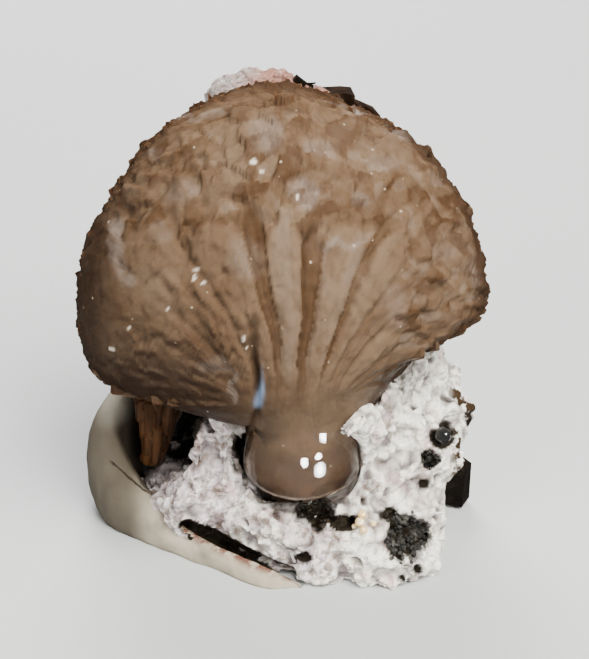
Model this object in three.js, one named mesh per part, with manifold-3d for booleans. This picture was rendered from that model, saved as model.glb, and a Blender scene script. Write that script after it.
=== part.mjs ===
// Poldervaartite sheaf on white matrix: a natural hand specimen, resting on its flat underside.
// Millimetres, +Z up, -Y is the specimen's front.
import * as THREE from 'three';
import { mergeVertices } from 'three/addons/utils/BufferGeometryUtils.js';
import Module from 'manifold-3d';

const wasm = await Module();
wasm.setup();

// Driving sizes
const crownWidth = 35.8;
const crownDepth = 25;
const crownTop = 38.9;
const crownMiddle = 21;
const crownCentre = { x: -0.7, y: 1.2 };
const crownRoundness = 1.9;
const rimMiddle = 17;
const rimTilt = 3.2;
const rimHighSide = THREE.MathUtils.degToRad(-18);
const rimTuck = 2.2;
const stemFoot = { x: 1.0, y: -4, z: 3.6 };
const stemRadius = 4.3;
const stemTop = 6.6;
const stemTopRise = 6.4;
const pieceGap = 0.38;
const cutterWidth = 60;
const cutterDepth = 30;

// Detail of the sheaf's faces
const sheafColumns = 54;
const sheafRows = 20;
const roomColumns = 27;
const roomRows = 20;
const ribCount = 18;
const ribDepth = 0.75;
const lobeDepth = 0.9;
const stepDepth = 1.0;
const grooveDepth = 1.9;
const rimBladeCount = 30;
const domeBladeCount = 26;

// Marks along one profile of the sheaf, from the middle of its foot to the top of its crown
const footEdge = 2 / sheafRows;
const stemEnd = 4 / sheafRows;
const rimEnd = 10 / sheafRows;

const colours = {
  brown: 0x8b6e58,
  orangeBrown: 0x7d4f2c,
  darkBrown: 0x4a382b,
  white: 0xd9d4cc,
  cream: 0xcfc5ad,
  pink: 0xd8b9ab,
  black: 0x17150f,
  golden: 0xd6b98c,
  clear: 0xf1ece0,
};

// A repeatable number from 0 to 1 for each whole or broken number
function hash(value) {
  const wave = Math.sin(value * 12.9898 + 4.1414) * 43758.5453;
  return wave - Math.floor(wave);
}

// Smooth noise from -1 to 1: hashed values at whole points, eased between them
function noise(x, y, z) {
  const cell = [x, y, z].map(Math.floor);
  const ease = [x - cell[0], y - cell[1], z - cell[2]].map((t) => t * t * (3 - 2 * t));
  let sum = 0;
  for (let corner = 0; corner < 8; corner += 1) {
    const step = [corner & 1, (corner >> 1) & 1, (corner >> 2) & 1];
    const weight = step.reduce((product, s, axis) => product * (s ? ease[axis] : 1 - ease[axis]), 1);
    sum += weight * hash(cell[0] + step[0] + 57.3 * (cell[1] + step[1]) + 113.7 * (cell[2] + step[2]));
  }
  return 2 * sum - 1;
}

// A wave of straight ramps from 0 to 1 and back, once for each whole number
function ramp(value) {
  return 1 - Math.abs(2 * (value - Math.floor(value)) - 1);
}

function merged(geometry) {
  geometry.deleteAttribute('normal');
  geometry.deleteAttribute('uv');
  return mergeVertices(geometry, 1e-4);
}

function toSolid(geometry) {
  const clean = merged(geometry);
  return new wasm.Manifold(new wasm.Mesh({
    numProp: 3,
    vertProperties: new Float32Array(clean.attributes.position.array),
    triVerts: new Uint32Array(clean.index.array),
  }));
}

function toGeometry(solid) {
  const mesh = solid.getMesh();
  const geometry = new THREE.BufferGeometry();
  geometry.setAttribute('position', new THREE.BufferAttribute(mesh.vertProperties, 3));
  geometry.setIndex(new THREE.BufferAttribute(mesh.triVerts, 1));
  geometry.computeVertexNormals();
  return geometry;
}

function joined(solids) {
  return solids.reduce((sum, solid) => sum.add(solid));
}

// A solid without what lies below the level that the specimen rests on
function flatBelow(solid) {
  const below = new THREE.BoxGeometry(cutterWidth, cutterWidth, cutterDepth);
  below.translate(0, 0, -cutterDepth / 2);
  return solid.subtract(toSolid(below));
}

// Largest body of a solid, without the loose chips that a cut leaves
function mainBody(solid) {
  return solid.decompose().reduce((best, body) => (body.volume() > best.volume() ? body : best));
}

// A closed skin of columns round an axis and rows from one pole to the other
function closedSkin(columns, rows, pointAt) {
  const positions = [];
  const indices = [];
  positions.push(...pointAt(0, 0));
  for (let row = 1; row < rows; row += 1) {
    for (let column = 0; column < columns; column += 1) {
      positions.push(...pointAt(column / columns, row / rows));
    }
  }
  positions.push(...pointAt(0, 1));
  const last = positions.length / 3 - 1;
  const at = (column, row) => 1 + (row - 1) * columns + (column % columns);
  for (let column = 0; column < columns; column += 1) {
    indices.push(0, at(column + 1, 1), at(column, 1));
    indices.push(last, at(column, rows - 1), at(column + 1, rows - 1));
    for (let row = 1; row < rows - 1; row += 1) {
      indices.push(at(column, row), at(column + 1, row), at(column + 1, row + 1));
      indices.push(at(column, row), at(column + 1, row + 1), at(column, row + 1));
    }
  }
  const geometry = new THREE.BufferGeometry();
  geometry.setAttribute('position', new THREE.Float32BufferAttribute(positions, 3));
  geometry.setIndex(indices);
  return geometry;
}

// The same skin moved outward along its normals
function grown(geometry, distance) {
  geometry.computeVertexNormals();
  const { position, normal } = geometry.attributes;
  for (let index = 0; index < position.count; index += 1) {
    position.setXYZ(
      index,
      position.getX(index) + normal.getX(index) * distance,
      position.getY(index) + normal.getY(index) * distance,
      position.getZ(index) + normal.getZ(index) * distance,
    );
  }
  return geometry;
}

// A rough stone-like lump: a sphere stretched to its radii, with noise along each ray
function lump(x, y, z, radiusX, radiusY, radiusZ, detail = 2, rough = 0.13, grow = 0) {
  const geometry = merged(new THREE.IcosahedronGeometry(1, detail));
  const { position } = geometry.attributes;
  const ray = new THREE.Vector3();
  const seed = x * 3.1 + y * 1.7 + z;
  for (let index = 0; index < position.count; index += 1) {
    ray.fromBufferAttribute(position, index);
    const coarse = noise(ray.x * 2.2 + seed, ray.y * 2.2, ray.z * 2.2);
    const fine = noise(ray.x * 5.3, ray.y * 5.3 + seed, ray.z * 5.3);
    const reach = 1 + rough * coarse + 0.6 * rough * fine;
    position.setXYZ(
      index,
      x + ray.x * (radiusX * reach + grow),
      y + ray.y * (radiusY * reach + grow),
      z + ray.z * (radiusZ * reach + grow),
    );
  }
  return toSolid(geometry);
}

// A flat-faced crystal: a prism with a few sides, drawn in to a smaller end face, along a direction
function crystal({ at, along, width, thick, length, sides = 6, taper = 0.55, turn = 0 }, grow = 0) {
  const radius = 0.5;
  const geometry = new THREE.CylinderGeometry(radius * taper, radius, 1, sides, 1);
  geometry.rotateY(turn);
  geometry.scale(width + 2 * grow, length + 2 * grow, thick + 2 * grow);
  const turnTo = new THREE.Quaternion().setFromUnitVectors(
    new THREE.Vector3(0, 1, 0),
    new THREE.Vector3(...along).normalize(),
  );
  geometry.applyQuaternion(turnTo);
  geometry.translate(...at);
  return toSolid(geometry);
}

// How far an azimuth lies toward the drooping left side, from 0 to 1
function leftness(azimuth) {
  return 0.5 - 0.5 * Math.cos(azimuth - rimHighSide);
}

// Rim radius: an ellipse in polar form
function rimRadius(azimuth) {
  return 1 / Math.hypot(Math.cos(azimuth) / (crownWidth / 2), Math.sin(azimuth) / (crownDepth / 2));
}

function rimHeight(azimuth) {
  return rimMiddle + rimTilt * Math.cos(azimuth - rimHighSide);
}

// Smooth shape of the sheaf: stem wall, trumpet-like flare, rim, and a superellipse over the crown
function smoothSheafPoint(azimuth, along) {
  const cosine = Math.cos(azimuth);
  const sine = Math.sin(azimuth);
  const left = leftness(azimuth) ** 2;
  const flareFoot = stemTop + stemTopRise * leftness(azimuth);
  const rimReach = rimRadius(azimuth);
  const rimLevel = rimHeight(azimuth);
  if (along <= stemEnd) {
    const reach = stemRadius * Math.min(1, along / footEdge);
    const climb = Math.max(0, (along - footEdge) / (stemEnd - footEdge));
    return [
      stemFoot.x + reach * cosine,
      stemFoot.y + reach * sine,
      stemFoot.z + climb * (flareFoot - stemFoot.z),
    ];
  }
  if (along < rimEnd) {
    const share = (along - stemEnd) / (rimEnd - stemEnd);
    const spread = share ** (1.55 - 0.6 * left);
    const rise = share ** (0.9 + 0.5 * left);
    const reach = rimReach - rimTuck * left;
    return [
      THREE.MathUtils.lerp(stemFoot.x + stemRadius * cosine, crownCentre.x + reach * cosine, spread),
      THREE.MathUtils.lerp(stemFoot.y + stemRadius * sine, crownCentre.y + reach * sine, spread),
      THREE.MathUtils.lerp(flareFoot, rimLevel, rise),
    ];
  }
  const climb = (along - rimEnd) / (1 - rimEnd);
  const turn = (climb * Math.PI) / 2;
  const power = 2 / crownRoundness;
  const tuck = rimTuck * left * Math.max(0, 1 - climb / 0.3) ** 2;
  const reach = rimReach * Math.cos(turn) ** power - tuck;
  return [
    crownCentre.x + Math.max(0, reach) * cosine,
    crownCentre.y + Math.max(0, reach) * sine,
    rimLevel + (crownTop - rimLevel) * Math.sin(turn) ** power,
  ];
}

// Depth cut into the smooth shape: lobes, ribs along the growth, the deep groove and end-face steps
function sheafRelief(azimuth, along) {
  const degrees = THREE.MathUtils.radToDeg(azimuth);
  const turns = azimuth / (2 * Math.PI);
  const fade = THREE.MathUtils.smoothstep(along, footEdge, rimEnd);
  const crownward = THREE.MathUtils.smoothstep(along, rimEnd - 0.05, rimEnd + 0.2);
  const nearTop = 1 - THREE.MathUtils.smoothstep(along, 0.9, 1);
  const wander = 0.35 * Math.sin(2 * azimuth + 1.3) + 0.2 * Math.sin(5 * azimuth + along * 3);
  const ribs = ramp(turns * ribCount + wander) * (0.45 + 0.55 * fade) * (1 - 0.45 * crownward);
  const lobes = ramp(turns * 7 + 0.12 + 0.2 * Math.sin(3 * azimuth)) ** 3 * fade * (1 - 0.5 * crownward);
  const grooveAt = THREE.MathUtils.lerp(-128, -97, Math.min(1, along / rimEnd));
  const away = (degrees - grooveAt) / 5.5;
  const grooveEnds = THREE.MathUtils.smoothstep(along, 0.1, 0.2)
    * (1 - THREE.MathUtils.smoothstep(along, 0.5, 0.72));
  const groove = Math.exp(-away * away) * grooveEnds;
  const cell = Math.floor(turns * (sheafColumns / 2)) + 31 * Math.floor(along * (sheafRows / 2));
  const steps = hash(cell) * crownward;
  const relief = ribDepth * ribs + lobeDepth * lobes + grooveDepth * groove + stepDepth * steps;
  return relief * nearTop * THREE.MathUtils.smoothstep(along, 0, footEdge * 1.6);
}

// Point inside the sheaf toward which its skin is cut: level with the stem, then the crown's middle
function cutFocus(height) {
  const share = THREE.MathUtils.smoothstep(height, stemTop, stemTop + stemTopRise);
  return new THREE.Vector3(
    THREE.MathUtils.lerp(stemFoot.x, crownCentre.x, share),
    THREE.MathUtils.lerp(stemFoot.y, crownCentre.y, share),
    THREE.MathUtils.lerp(height, crownMiddle, share),
  );
}

function sheafPoint(columnShare, along) {
  const azimuth = columnShare * 2 * Math.PI - Math.PI;
  const point = new THREE.Vector3(...smoothSheafPoint(azimuth, along));
  const outward = point.clone().sub(cutFocus(point.z)).normalize();
  point.addScaledVector(outward, -sheafRelief(azimuth, along));
  return point.toArray();
}

// Crystal ends that stand a little proud of the rim and of the dome, pointing along their growth
function sheafBlades() {
  const blades = [];
  for (let index = 0; index < rimBladeCount + domeBladeCount; index += 1) {
    const onRim = index < rimBladeCount;
    const share = onRim
      ? (index + 0.5 * hash(index)) / rimBladeCount
      : ((index - rimBladeCount) * 0.618) % 1;
    const climb = onRim
      ? 0.02 + 0.03 * hash(index + 7)
      : 0.08 + 0.36 * Math.sqrt((index - rimBladeCount + 0.5) / domeBladeCount);
    const azimuth = share * 2 * Math.PI - Math.PI;
    const inFront = onRim && azimuth > -1.9 && azimuth < -0.6;
    const againstMatrix = azimuth > (onRim ? -0.25 : 0.7) && azimuth < 2.5;
    if (inFront || againstMatrix) {
      continue;
    }
    const tip = new THREE.Vector3(...smoothSheafPoint(azimuth, rimEnd + climb));
    const source = onRim
      ? new THREE.Vector3(...smoothSheafPoint(azimuth, rimEnd - 0.12)).add(new THREE.Vector3(0, 0, 1.6))
      : new THREE.Vector3(stemFoot.x, stemFoot.y + 2, stemFoot.z + 6);
    const growth = tip.clone().sub(source).normalize();
    const length = 4;
    tip.addScaledVector(growth, (onRim ? 0.25 : 0.12) * hash(index + 11) - length / 2);
    blades.push(crystal({
      at: tip.toArray(),
      along: growth.toArray(),
      width: onRim ? 1.8 + hash(index + 17) : 2.6 + 1.4 * hash(index + 17),
      thick: onRim ? 1.6 + 0.8 * hash(index + 23) : 2.2 + hash(index + 23),
      length,
      sides: onRim ? 4 : 5,
      taper: 0.8,
      turn: onRim ? Math.PI / 4 : 6 * hash(index + 31),
    }));
  }
  return joined(blades);
}

function sheafBody() {
  return toSolid(closedSkin(sheafColumns, sheafRows, sheafPoint)).add(sheafBlades());
}

// Room that the sheaf takes in the pieces round it
function sheafRoom(gap) {
  const smooth = closedSkin(roomColumns, roomRows, (share, along) => (
    smoothSheafPoint(share * 2 * Math.PI - Math.PI, along)
  ));
  return toSolid(grown(smooth, gap));
}

// Small bundle of tapering crystals in the hollow
function smallSheafBody(grow = 0) {
  const foot = new THREE.Vector3(-10.2, -0.4, 3.2);
  const bundle = [];
  for (let index = 0; index < 6; index += 1) {
    const aside = (index % 3) - 1;
    const behind = Math.floor(index / 3) - 0.5;
    const along = new THREE.Vector3(-0.14 + 0.13 * aside, 0.1 * behind, 1).normalize();
    const middle = foot.clone().add(new THREE.Vector3(0.62 * aside, 0.6 * behind, 0));
    middle.addScaledVector(along, 4.2 + 0.5 * hash(index));
    bundle.push(crystal({
      at: middle.toArray(),
      along: along.toArray(),
      width: 1.25,
      thick: 1.2,
      length: 9,
      sides: 4,
      taper: 0.8,
      turn: index,
    }, grow));
  }
  return joined(bundle);
}

// Low wall of the rind: its top drops from the left end to the front strip
function rindBody(grow = 0) {
  const crest = new THREE.CatmullRomCurve3([
    new THREE.Vector3(-11.2, 7.6, 9.4),
    new THREE.Vector3(-14.6, 4.6, 10.4),
    new THREE.Vector3(-15.7, 0.6, 9.2),
    new THREE.Vector3(-14.4, -2.4, 6.4),
    new THREE.Vector3(-11.6, -4.6, 3.6),
    new THREE.Vector3(-8.0, -6.9, 2.0),
    new THREE.Vector3(-4.6, -9.3, 1.6),
    new THREE.Vector3(-1.4, -11.2, 1.3),
    new THREE.Vector3(1.4, -11.9, 0.7),
  ]);
  const stations = 14;
  const sectionSides = 8;
  const wallHalf = 0.75;
  const sunkFoot = 1.6;
  return toSolid(closedSkin(sectionSides, stations, (share, along) => {
    const top = crest.getPoint(along);
    const heading = crest.getTangent(along);
    const outward = new THREE.Vector3(-heading.y, heading.x, 0).normalize();
    const halfHeight = (top.z + sunkFoot) / 2;
    const fullBulge = 0.09 * top.z;
    if (along === 0 || along === 1) {
      const end = top.clone().addScaledVector(heading, along === 0 ? -3 * grow : 3 * grow);
      end.addScaledVector(outward, -fullBulge);
      return [end.x, end.y, top.z - halfHeight];
    }
    const closing = Math.min(1, Math.sin(Math.PI * along) * 3.2 + 0.02);
    const turn = -share * 2 * Math.PI;
    const halfWall = (wallHalf + 0.1 * noise(along * 9, 2, 3) + grow) * closing;
    const bulge = fullBulge * Math.cos((Math.PI / 2) * Math.sin(turn));
    const reach = 0.9 * Math.cos(turn) * halfWall + bulge;
    const rise = (halfHeight + grow) * Math.sin(turn) * (0.6 + 0.4 * closing);
    return [top.x - outward.x * reach, top.y - outward.y * reach, top.z - halfHeight + rise];
  }));
}

// Clear drop round the foot of the stem
function beadBody(grow = 0) {
  return lump(1.4, -5.6, 7.6, 4.8, 4.4, 3.9, 3, 0.012, grow);
}

function topCrustBody(grow = 0) {
  return joined([
    lump(-4.2, 5.7, 35.4, 2.6, 2.2, 2.6, 1, 0.1, grow),
    lump(-1.6, 6.0, 35.8, 2.7, 2.3, 2.6, 1, 0.1, grow),
    lump(1.2, 6.2, 35.0, 2.1, 2.0, 2.1, 1, 0.1, grow),
  ]);
}

function topSpurBody(grow = 0) {
  return joined([
    crystal({ at: [1.3, 5.8, 37.3], along: [0.95, 0.1, 0.35], width: 0.9, thick: 0.9, length: 2.0 }, grow),
    crystal({ at: [2.1, 5.9, 37.1], along: [0.8, 0.1, -0.5], width: 0.8, thick: 0.8, length: 1.6 }, grow),
  ]);
}

function topBlockBody(grow = 0) {
  return joined([
    crystal({
      at: [4.4, 7.3, 33.0], along: [0.25, 0.2, 0.95], width: 3.9, thick: 2.7, length: 4.8, taper: 0.8,
    }, grow),
    crystal({
      at: [5.6, 7.1, 32.0], along: [0.55, 0.1, 0.8], width: 2.4, thick: 2.2, length: 4.0, taper: 0.7,
    }, grow),
  ]);
}

function rightBlockBody(grow = 0) {
  return joined([
    crystal({
      at: [13.6, 2.2, 3.0], along: [0.1, -0.15, 1], width: 3.4, thick: 3.0, length: 4.6, taper: 0.85, turn: 0.4,
    }, grow),
    crystal({
      at: [13.4, 1.2, 1.9], along: [0.5, -0.5, 0.6], width: 2.4, thick: 2.2, length: 3.2, taper: 0.8,
    }, grow),
  ]);
}

function blackRightBody(grow = 0) {
  return joined([
    crystal({
      at: [13.0, -3.6, 9.6], along: [0.15, -0.85, 0.5], width: 2.0, thick: 1.8, length: 2.6, taper: 0.7,
    }, grow),
    crystal({
      at: [12.2, -3.5, 8.9], along: [-0.3, -0.8, 0.3], width: 1.3, thick: 1.2, length: 2.2, taper: 0.7,
    }, grow),
  ]);
}

function blackLowBody(grow = 0) {
  return joined([
    crystal({
      at: [11.9, -4.9, 7.4], along: [-0.2, -0.9, 0.3], width: 1.5, thick: 1.4, length: 2.4, taper: 0.75,
    }, grow),
    crystal({
      at: [12.4, -4.7, 8.0], along: [0.2, -0.8, 0.5], width: 1.0, thick: 1.0, length: 2.0, taper: 0.75,
    }, grow),
  ]);
}

// Short crystals pointing about one way from a dark lump: centre, radii of the lump, and their size
function crystalCluster(centre, radii, count, size, seed) {
  const cluster = [lump(...centre, ...radii, 0, 0.05)];
  for (let index = 0; index < count; index += 1) {
    const turn = index * 2.4;
    const reach = 0.55 * Math.sqrt((index + 0.3) / count);
    cluster.push(crystal({
      at: [
        centre[0] + radii[0] * reach * Math.cos(turn),
        centre[1] - radii[1] * 0.5,
        centre[2] + radii[2] * reach * Math.sin(turn),
      ],
      along: [0.6 * (hash(index + seed) - 0.5), -1, 0.3 + 0.6 * (hash(index + seed + 9) - 0.5)],
      width: size * (0.8 + 0.5 * hash(index + seed + 13)),
      thick: size * (0.8 + 0.4 * hash(index + seed + 15)),
      length: size * 1.6,
      sides: 4,
      taper: 0.65,
    }));
  }
  return joined(cluster);
}

const pocketPlace = { centre: [9.9, -7.8, 2.9], radii: [1.7, 1.5, 2.0] };
const pitPlace = { centre: [3.6, -8.2, 4.5], radii: [2.2, 1.3, 1.3] };
const hollowPlace = { centre: [-9.2, 3.4, 7.0], radii: [3.6, 1.5, 4.0] };

function blackPocketBody() {
  return crystalCluster(pocketPlace.centre, pocketPlace.radii, 6, 1.0, 40);
}

function blackPitBody() {
  return crystalCluster(pitPlace.centre, pitPlace.radii, 4, 0.75, 70);
}

function hollowCrustBody() {
  return crystalCluster(hollowPlace.centre, hollowPlace.radii, 7, 1.7, 20);
}

// Room for a cluster: its lump with a gap round it
function clusterRoom({ centre, radii }, gap) {
  return lump(...centre, ...radii, 0, 0.05, gap);
}

function goldenBeadsBody(grow = 0) {
  return joined([
    lump(6.1, -10.1, 4.0, 0.62, 0.6, 0.6, 0, 0.04, grow),
    lump(6.9, -10.0, 4.2, 0.52, 0.5, 0.5, 0, 0.04, grow),
    lump(6.6, -10.2, 3.5, 0.5, 0.5, 0.5, 0, 0.04, grow),
  ]);
}

// White matrix: lumps grown together, made flat below and open where the other pieces sit
function matrixBody(rooms) {
  const base = [
    lump(6.4, -4.6, 1.6, 7.6, 7.0, 5.6),
    lump(-4.6, 0.6, 0.8, 8.6, 6.6, 4.0, 1),
    lump(1.0, 5.6, 2.0, 12.4, 7.6, 6.4, 1),
    lump(8.4, -8.4, 1.4, 4.4, 3.8, 3.6, 1),
  ];
  const rightWing = [
    lump(10.6, -1.9, 6.2, 5.0, 4.8, 6.4),
    lump(10.9, 1.6, 10.9, 4.2, 4.4, 4.9, 1),
    lump(12.7, 2.6, 13.4, 1.7, 2.0, 2.2, 1),
    lump(14.2, -0.2, 8.6, 2.1, 2.8, 3.7, 1),
  ];
  const leftWing = [
    lump(-4.5, -5.4, 9.0, 1.6, 1.8, 5.2, 1),
    lump(-6.9, -5.2, 7.6, 1.9, 1.9, 4.9, 1),
    lump(-6.6, -5.4, 3.4, 4.3, 2.7, 4.2, 1),
    lump(-9.9, -3.7, 1.8, 2.2, 2.0, 2.7, 1),
  ];
  const frontRidge = [
    lump(-1.6, -8.0, 3.0, 4.3, 2.2, 3.3, 1),
    lump(2.6, -9.4, 1.8, 3.6, 2.2, 2.6, 1),
  ];
  const back = [
    lump(-9.0, 7.2, 6.0, 5.2, 3.8, 6.4, 1),
    lump(0.2, 10.4, 11.0, 8.4, 3.9, 9.4, 1),
    lump(-0.9, 11.4, 22.4, 6.6, 3.6, 10.4, 1),
    lump(-1.0, 8.4, 32.2, 5.0, 2.9, 4.4, 1),
  ];
  const whole = flatBelow(joined([...base, ...rightWing, ...leftWing, ...frontRidge, ...back]));
  const pits = [
    lump(3.6, -10.0, 4.7, 2.6, 2.3, 1.9, 1),
    lump(9.9, -9.8, 2.9, 2.2, 2.3, 2.5, 1),
    lump(12.6, -5.6, 8.6, 1.6, 1.6, 2.0, 1),
  ];
  return mainBody([...rooms, ...pits].reduce((rest, room) => rest.subtract(room), whole));
}

const specimen = new THREE.Group();

function place(name, solid, color, roughness = 0.4, metalness = 0) {
  const mesh = new THREE.Mesh(
    toGeometry(solid),
    new THREE.MeshStandardMaterial({ color, roughness, metalness }),
  );
  mesh.name = name;
  specimen.add(mesh);
}

const sheafSpace = sheafRoom(pieceGap);
const beadSpace = beadBody(pieceGap);
const smallPieces = [
  { name: 'small_sheaf', body: smallSheafBody, color: colours.orangeBrown, roughness: 0.25 },
  { name: 'top_spur', body: topSpurBody, color: colours.black, roughness: 0.2, metalness: 0.4 },
  { name: 'top_block', body: topBlockBody, color: colours.darkBrown, roughness: 0.3 },
  { name: 'top_crust', body: topCrustBody, color: colours.pink, roughness: 0.5 },
  { name: 'right_block', body: rightBlockBody, color: colours.darkBrown, roughness: 0.3 },
  { name: 'black_crystal_right', body: blackRightBody, color: colours.black, roughness: 0.1, metalness: 0.5 },
  { name: 'black_crystal_low', body: blackLowBody, color: colours.black, roughness: 0.2, metalness: 0.5 },
  { name: 'golden_beads', body: goldenBeadsBody, color: colours.golden, roughness: 0.15 },
];

place('sheaf', sheafBody(), colours.brown, 0.3);
place('clear_bead', mainBody(beadBody().subtract(sheafSpace)), colours.clear, 0.03);

const rooms = [sheafSpace, beadSpace, rindBody(pieceGap)];
for (const piece of smallPieces) {
  const free = rooms.reduce((rest, room) => rest.subtract(room), piece.body());
  place(piece.name, mainBody(flatBelow(free)), piece.color, piece.roughness, piece.metalness);
  rooms.push(piece.body(pieceGap));
}
const clusters = [
  { name: 'black_pocket', body: blackPocketBody, at: pocketPlace },
  { name: 'black_pit', body: blackPitBody, at: pitPlace },
  { name: 'hollow_crust', body: hollowCrustBody, at: hollowPlace },
];
for (const cluster of clusters) {
  const free = rooms.reduce((rest, room) => rest.subtract(room), cluster.body());
  place(cluster.name, mainBody(flatBelow(free)), colours.black, 0.25, 0.4);
  rooms.push(clusterRoom(cluster.at, pieceGap));
}
place('rind', mainBody(flatBelow(rindBody().subtract(sheafSpace))), colours.cream, 0.6);
place('matrix', matrixBody(rooms), colours.white, 0.75);

export default specimen;
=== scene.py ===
import math
import bpy
import numpy as np
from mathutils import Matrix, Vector


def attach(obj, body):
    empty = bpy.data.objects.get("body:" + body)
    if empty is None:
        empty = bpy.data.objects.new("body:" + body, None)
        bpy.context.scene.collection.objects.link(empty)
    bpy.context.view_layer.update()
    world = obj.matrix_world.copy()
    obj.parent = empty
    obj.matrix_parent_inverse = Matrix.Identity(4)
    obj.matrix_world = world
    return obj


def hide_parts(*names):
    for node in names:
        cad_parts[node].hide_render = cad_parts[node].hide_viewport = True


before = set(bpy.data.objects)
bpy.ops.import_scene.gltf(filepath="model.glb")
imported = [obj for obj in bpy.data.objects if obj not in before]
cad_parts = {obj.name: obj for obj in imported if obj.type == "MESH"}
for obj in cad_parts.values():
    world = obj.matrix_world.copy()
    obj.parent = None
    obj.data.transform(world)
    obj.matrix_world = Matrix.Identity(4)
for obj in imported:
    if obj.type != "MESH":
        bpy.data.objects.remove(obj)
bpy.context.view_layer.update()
mm = 0.001
print("frame loaded:", len(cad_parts), "nodes")


# numbers and noise on whole arrays, lengths in millimetres

def hash01(x, y=0.0, z=0.0, seed=0.0):
    # fraction left over from a steep sine of the weighted sum
    wave = np.sin(x * 12.9898 + y * 78.233 + z * 37.719 + seed * 93.989 + 4.1) * 43758.5453
    return wave - np.floor(wave)


def smooth(low, high, value):
    # S-curve from 0 at low to 1 at high
    share = np.clip((value - low) / (high - low), 0, 1)
    return share * share * (3 - 2 * share)


def turns(count):
    # angles evenly round a circle
    return np.arange(count) / count * 2 * np.pi


def stacked(*parts):
    # the parts of each vector, brought to one shape
    return np.stack(np.broadcast_arrays(*parts), -1)


def unit(vectors):
    # each vector divided by its own length
    return vectors / np.maximum(1e-9, np.linalg.norm(vectors, axis=-1, keepdims=True))


def ovalDistance(points, centre, radii):
    # distance from the centre in radii: 1 on the ellipsoid, less inside it
    return np.linalg.norm((points - np.array(centre)) / np.array(radii), axis=-1)


def softNoise(points, size, seed=0.0):
    # hashed values at the corners of cells of this size, eased between them, from -1 to 1
    scaled = points / size
    cell = np.floor(scaled)
    ease = scaled - cell
    ease = ease * ease * (3 - 2 * ease)
    total = np.zeros(points.shape[:-1])
    for corner in range(8):
        step = np.array([corner & 1, (corner >> 1) & 1, (corner >> 2) & 1])
        weight = np.prod(np.where(step == 1, ease, 1 - ease), axis=-1)
        spot = cell + step
        total += weight * hash01(spot[..., 0], spot[..., 1], spot[..., 2], seed)
    return 2 * total - 1


def shiftNoise(points, size, seeds):
    # one soft noise for each direction
    return np.stack([softNoise(points, size, seed) for seed in seeds], -1)


def layeredNoise(points, size, layers=3, seed=0.0):
    # soft noise summed at halved sizes and halved heights
    total = np.zeros(points.shape[:-1])
    for layer in range(layers):
        total += softNoise(points, size / 2 ** layer, seed + 7 * layer) / 2 ** layer
    return total


def cells(points, size, seed=0.0):
    # one jittered point per cell: distance of the nearest, how much further the second, its number and offset
    scaled = points / size
    cell = np.floor(scaled)
    near = np.full(points.shape[:-1], 9.0)
    second = near.copy()
    number = np.zeros(points.shape[:-1])
    offset = np.zeros(points.shape)
    for index in range(27):
        spot = cell + np.array([index % 3, index // 3 % 3, index // 9]) - 1
        x, y, z = spot[..., 0], spot[..., 1], spot[..., 2]
        jitter = np.stack([hash01(x, y, z, seed + part) for part in (1, 2, 3)], -1)
        away = scaled - (spot + jitter)
        distance = np.linalg.norm(away, axis=-1)
        closer = distance < near
        second = np.where(closer, near, np.minimum(second, distance))
        near = np.where(closer, distance, near)
        number = np.where(closer, hash01(x, y, z, seed + 4), number)
        offset = np.where(closer[..., None], away, offset)
    return near * size, (second - near) * size, number, offset * size


def tiltedCells(points, size, seed):
    # cell faces that tilt at random, as offset times tilt: height, gap to the next cell, number
    _, gap, number, offset = cells(points, size, seed)
    tilt = np.stack([hash01(number, part) for part in (1, 2, 3)], -1) - 0.5
    return np.sum(offset * tilt, -1) / size, gap, number


def edgeLine(gap, size):
    # 1 where two cells meet, falling off over a share of their size
    return np.exp(-gap / (0.09 * size))


# meshes from arrays

def meshPiece(name, points, faces, values=None, growth=None, flat=False):
    # points in millimetres, faces as index rows, values and growth uvs per point
    mesh = bpy.data.meshes.new(name)
    mesh.from_pydata((points * mm).tolist(), [], faces)
    if growth is not None:
        corners = np.concatenate([np.array(face) for face in faces])
        layer = mesh.uv_layers.new(name="growth")
        layer.data.foreach_set("uv", growth[corners].astype(np.float32).ravel())
    for key, array in (values or {}).items():
        attribute = mesh.attributes.new(key, "FLOAT", "POINT")
        attribute.data.foreach_set("value", np.asarray(array, np.float32))
    mesh.polygons.foreach_set("use_smooth", np.full(len(mesh.polygons), not flat))
    mesh.validate()
    mesh.update()
    piece = bpy.data.objects.new(name, mesh)
    bpy.context.scene.collection.objects.link(piece)
    return piece


def skinFaces(rows, columns):
    # quads of a grid that wraps round its columns, and fans to the one point of its first and last rows
    row, column = np.meshgrid(np.arange(rows - 3), np.arange(columns), indexing="ij")
    start, turned = 1 + row * columns + column, 1 + row * columns + (column + 1) % columns
    quads = stacked(start, turned, turned + columns, start + columns).reshape(-1, 4)
    around = np.arange(columns)
    after = (around + 1) % columns
    lastRow = 1 + (rows - 3) * columns
    foot = stacked(0, 1 + after, 1 + around)
    top = stacked(lastRow + columns, lastRow + around, lastRow + after)
    return quads.tolist() + foot.tolist() + top.tolist()


def closedRows(grid):
    # the first and last rows of places or numbers become one each
    return np.concatenate([grid[0, :1], grid[1:-1].reshape(-1, *grid.shape[2:]), grid[-1, :1]])


def skinPiece(name, grid, values=None, growth=None, turned=False):
    # a closed skin from rows of places, with its values and growth uvs in the same rows
    faces = skinFaces(*grid.shape[:2])
    if turned:
        faces = [face[::-1] for face in faces]
    values = {key: closedRows(array) for key, array in (values or {}).items()}
    growth = None if growth is None else closedRows(growth)
    return meshPiece(name, closedRows(grid), faces, values, growth)


def ballGrid(columns, rows):
    # unit directions from the lower pole to the upper one
    turn, climb = np.meshgrid(turns(columns), np.linspace(-np.pi / 2, np.pi / 2, rows))
    return stacked(np.cos(climb) * np.cos(turn), np.cos(climb) * np.sin(turn), np.sin(climb))


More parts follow.
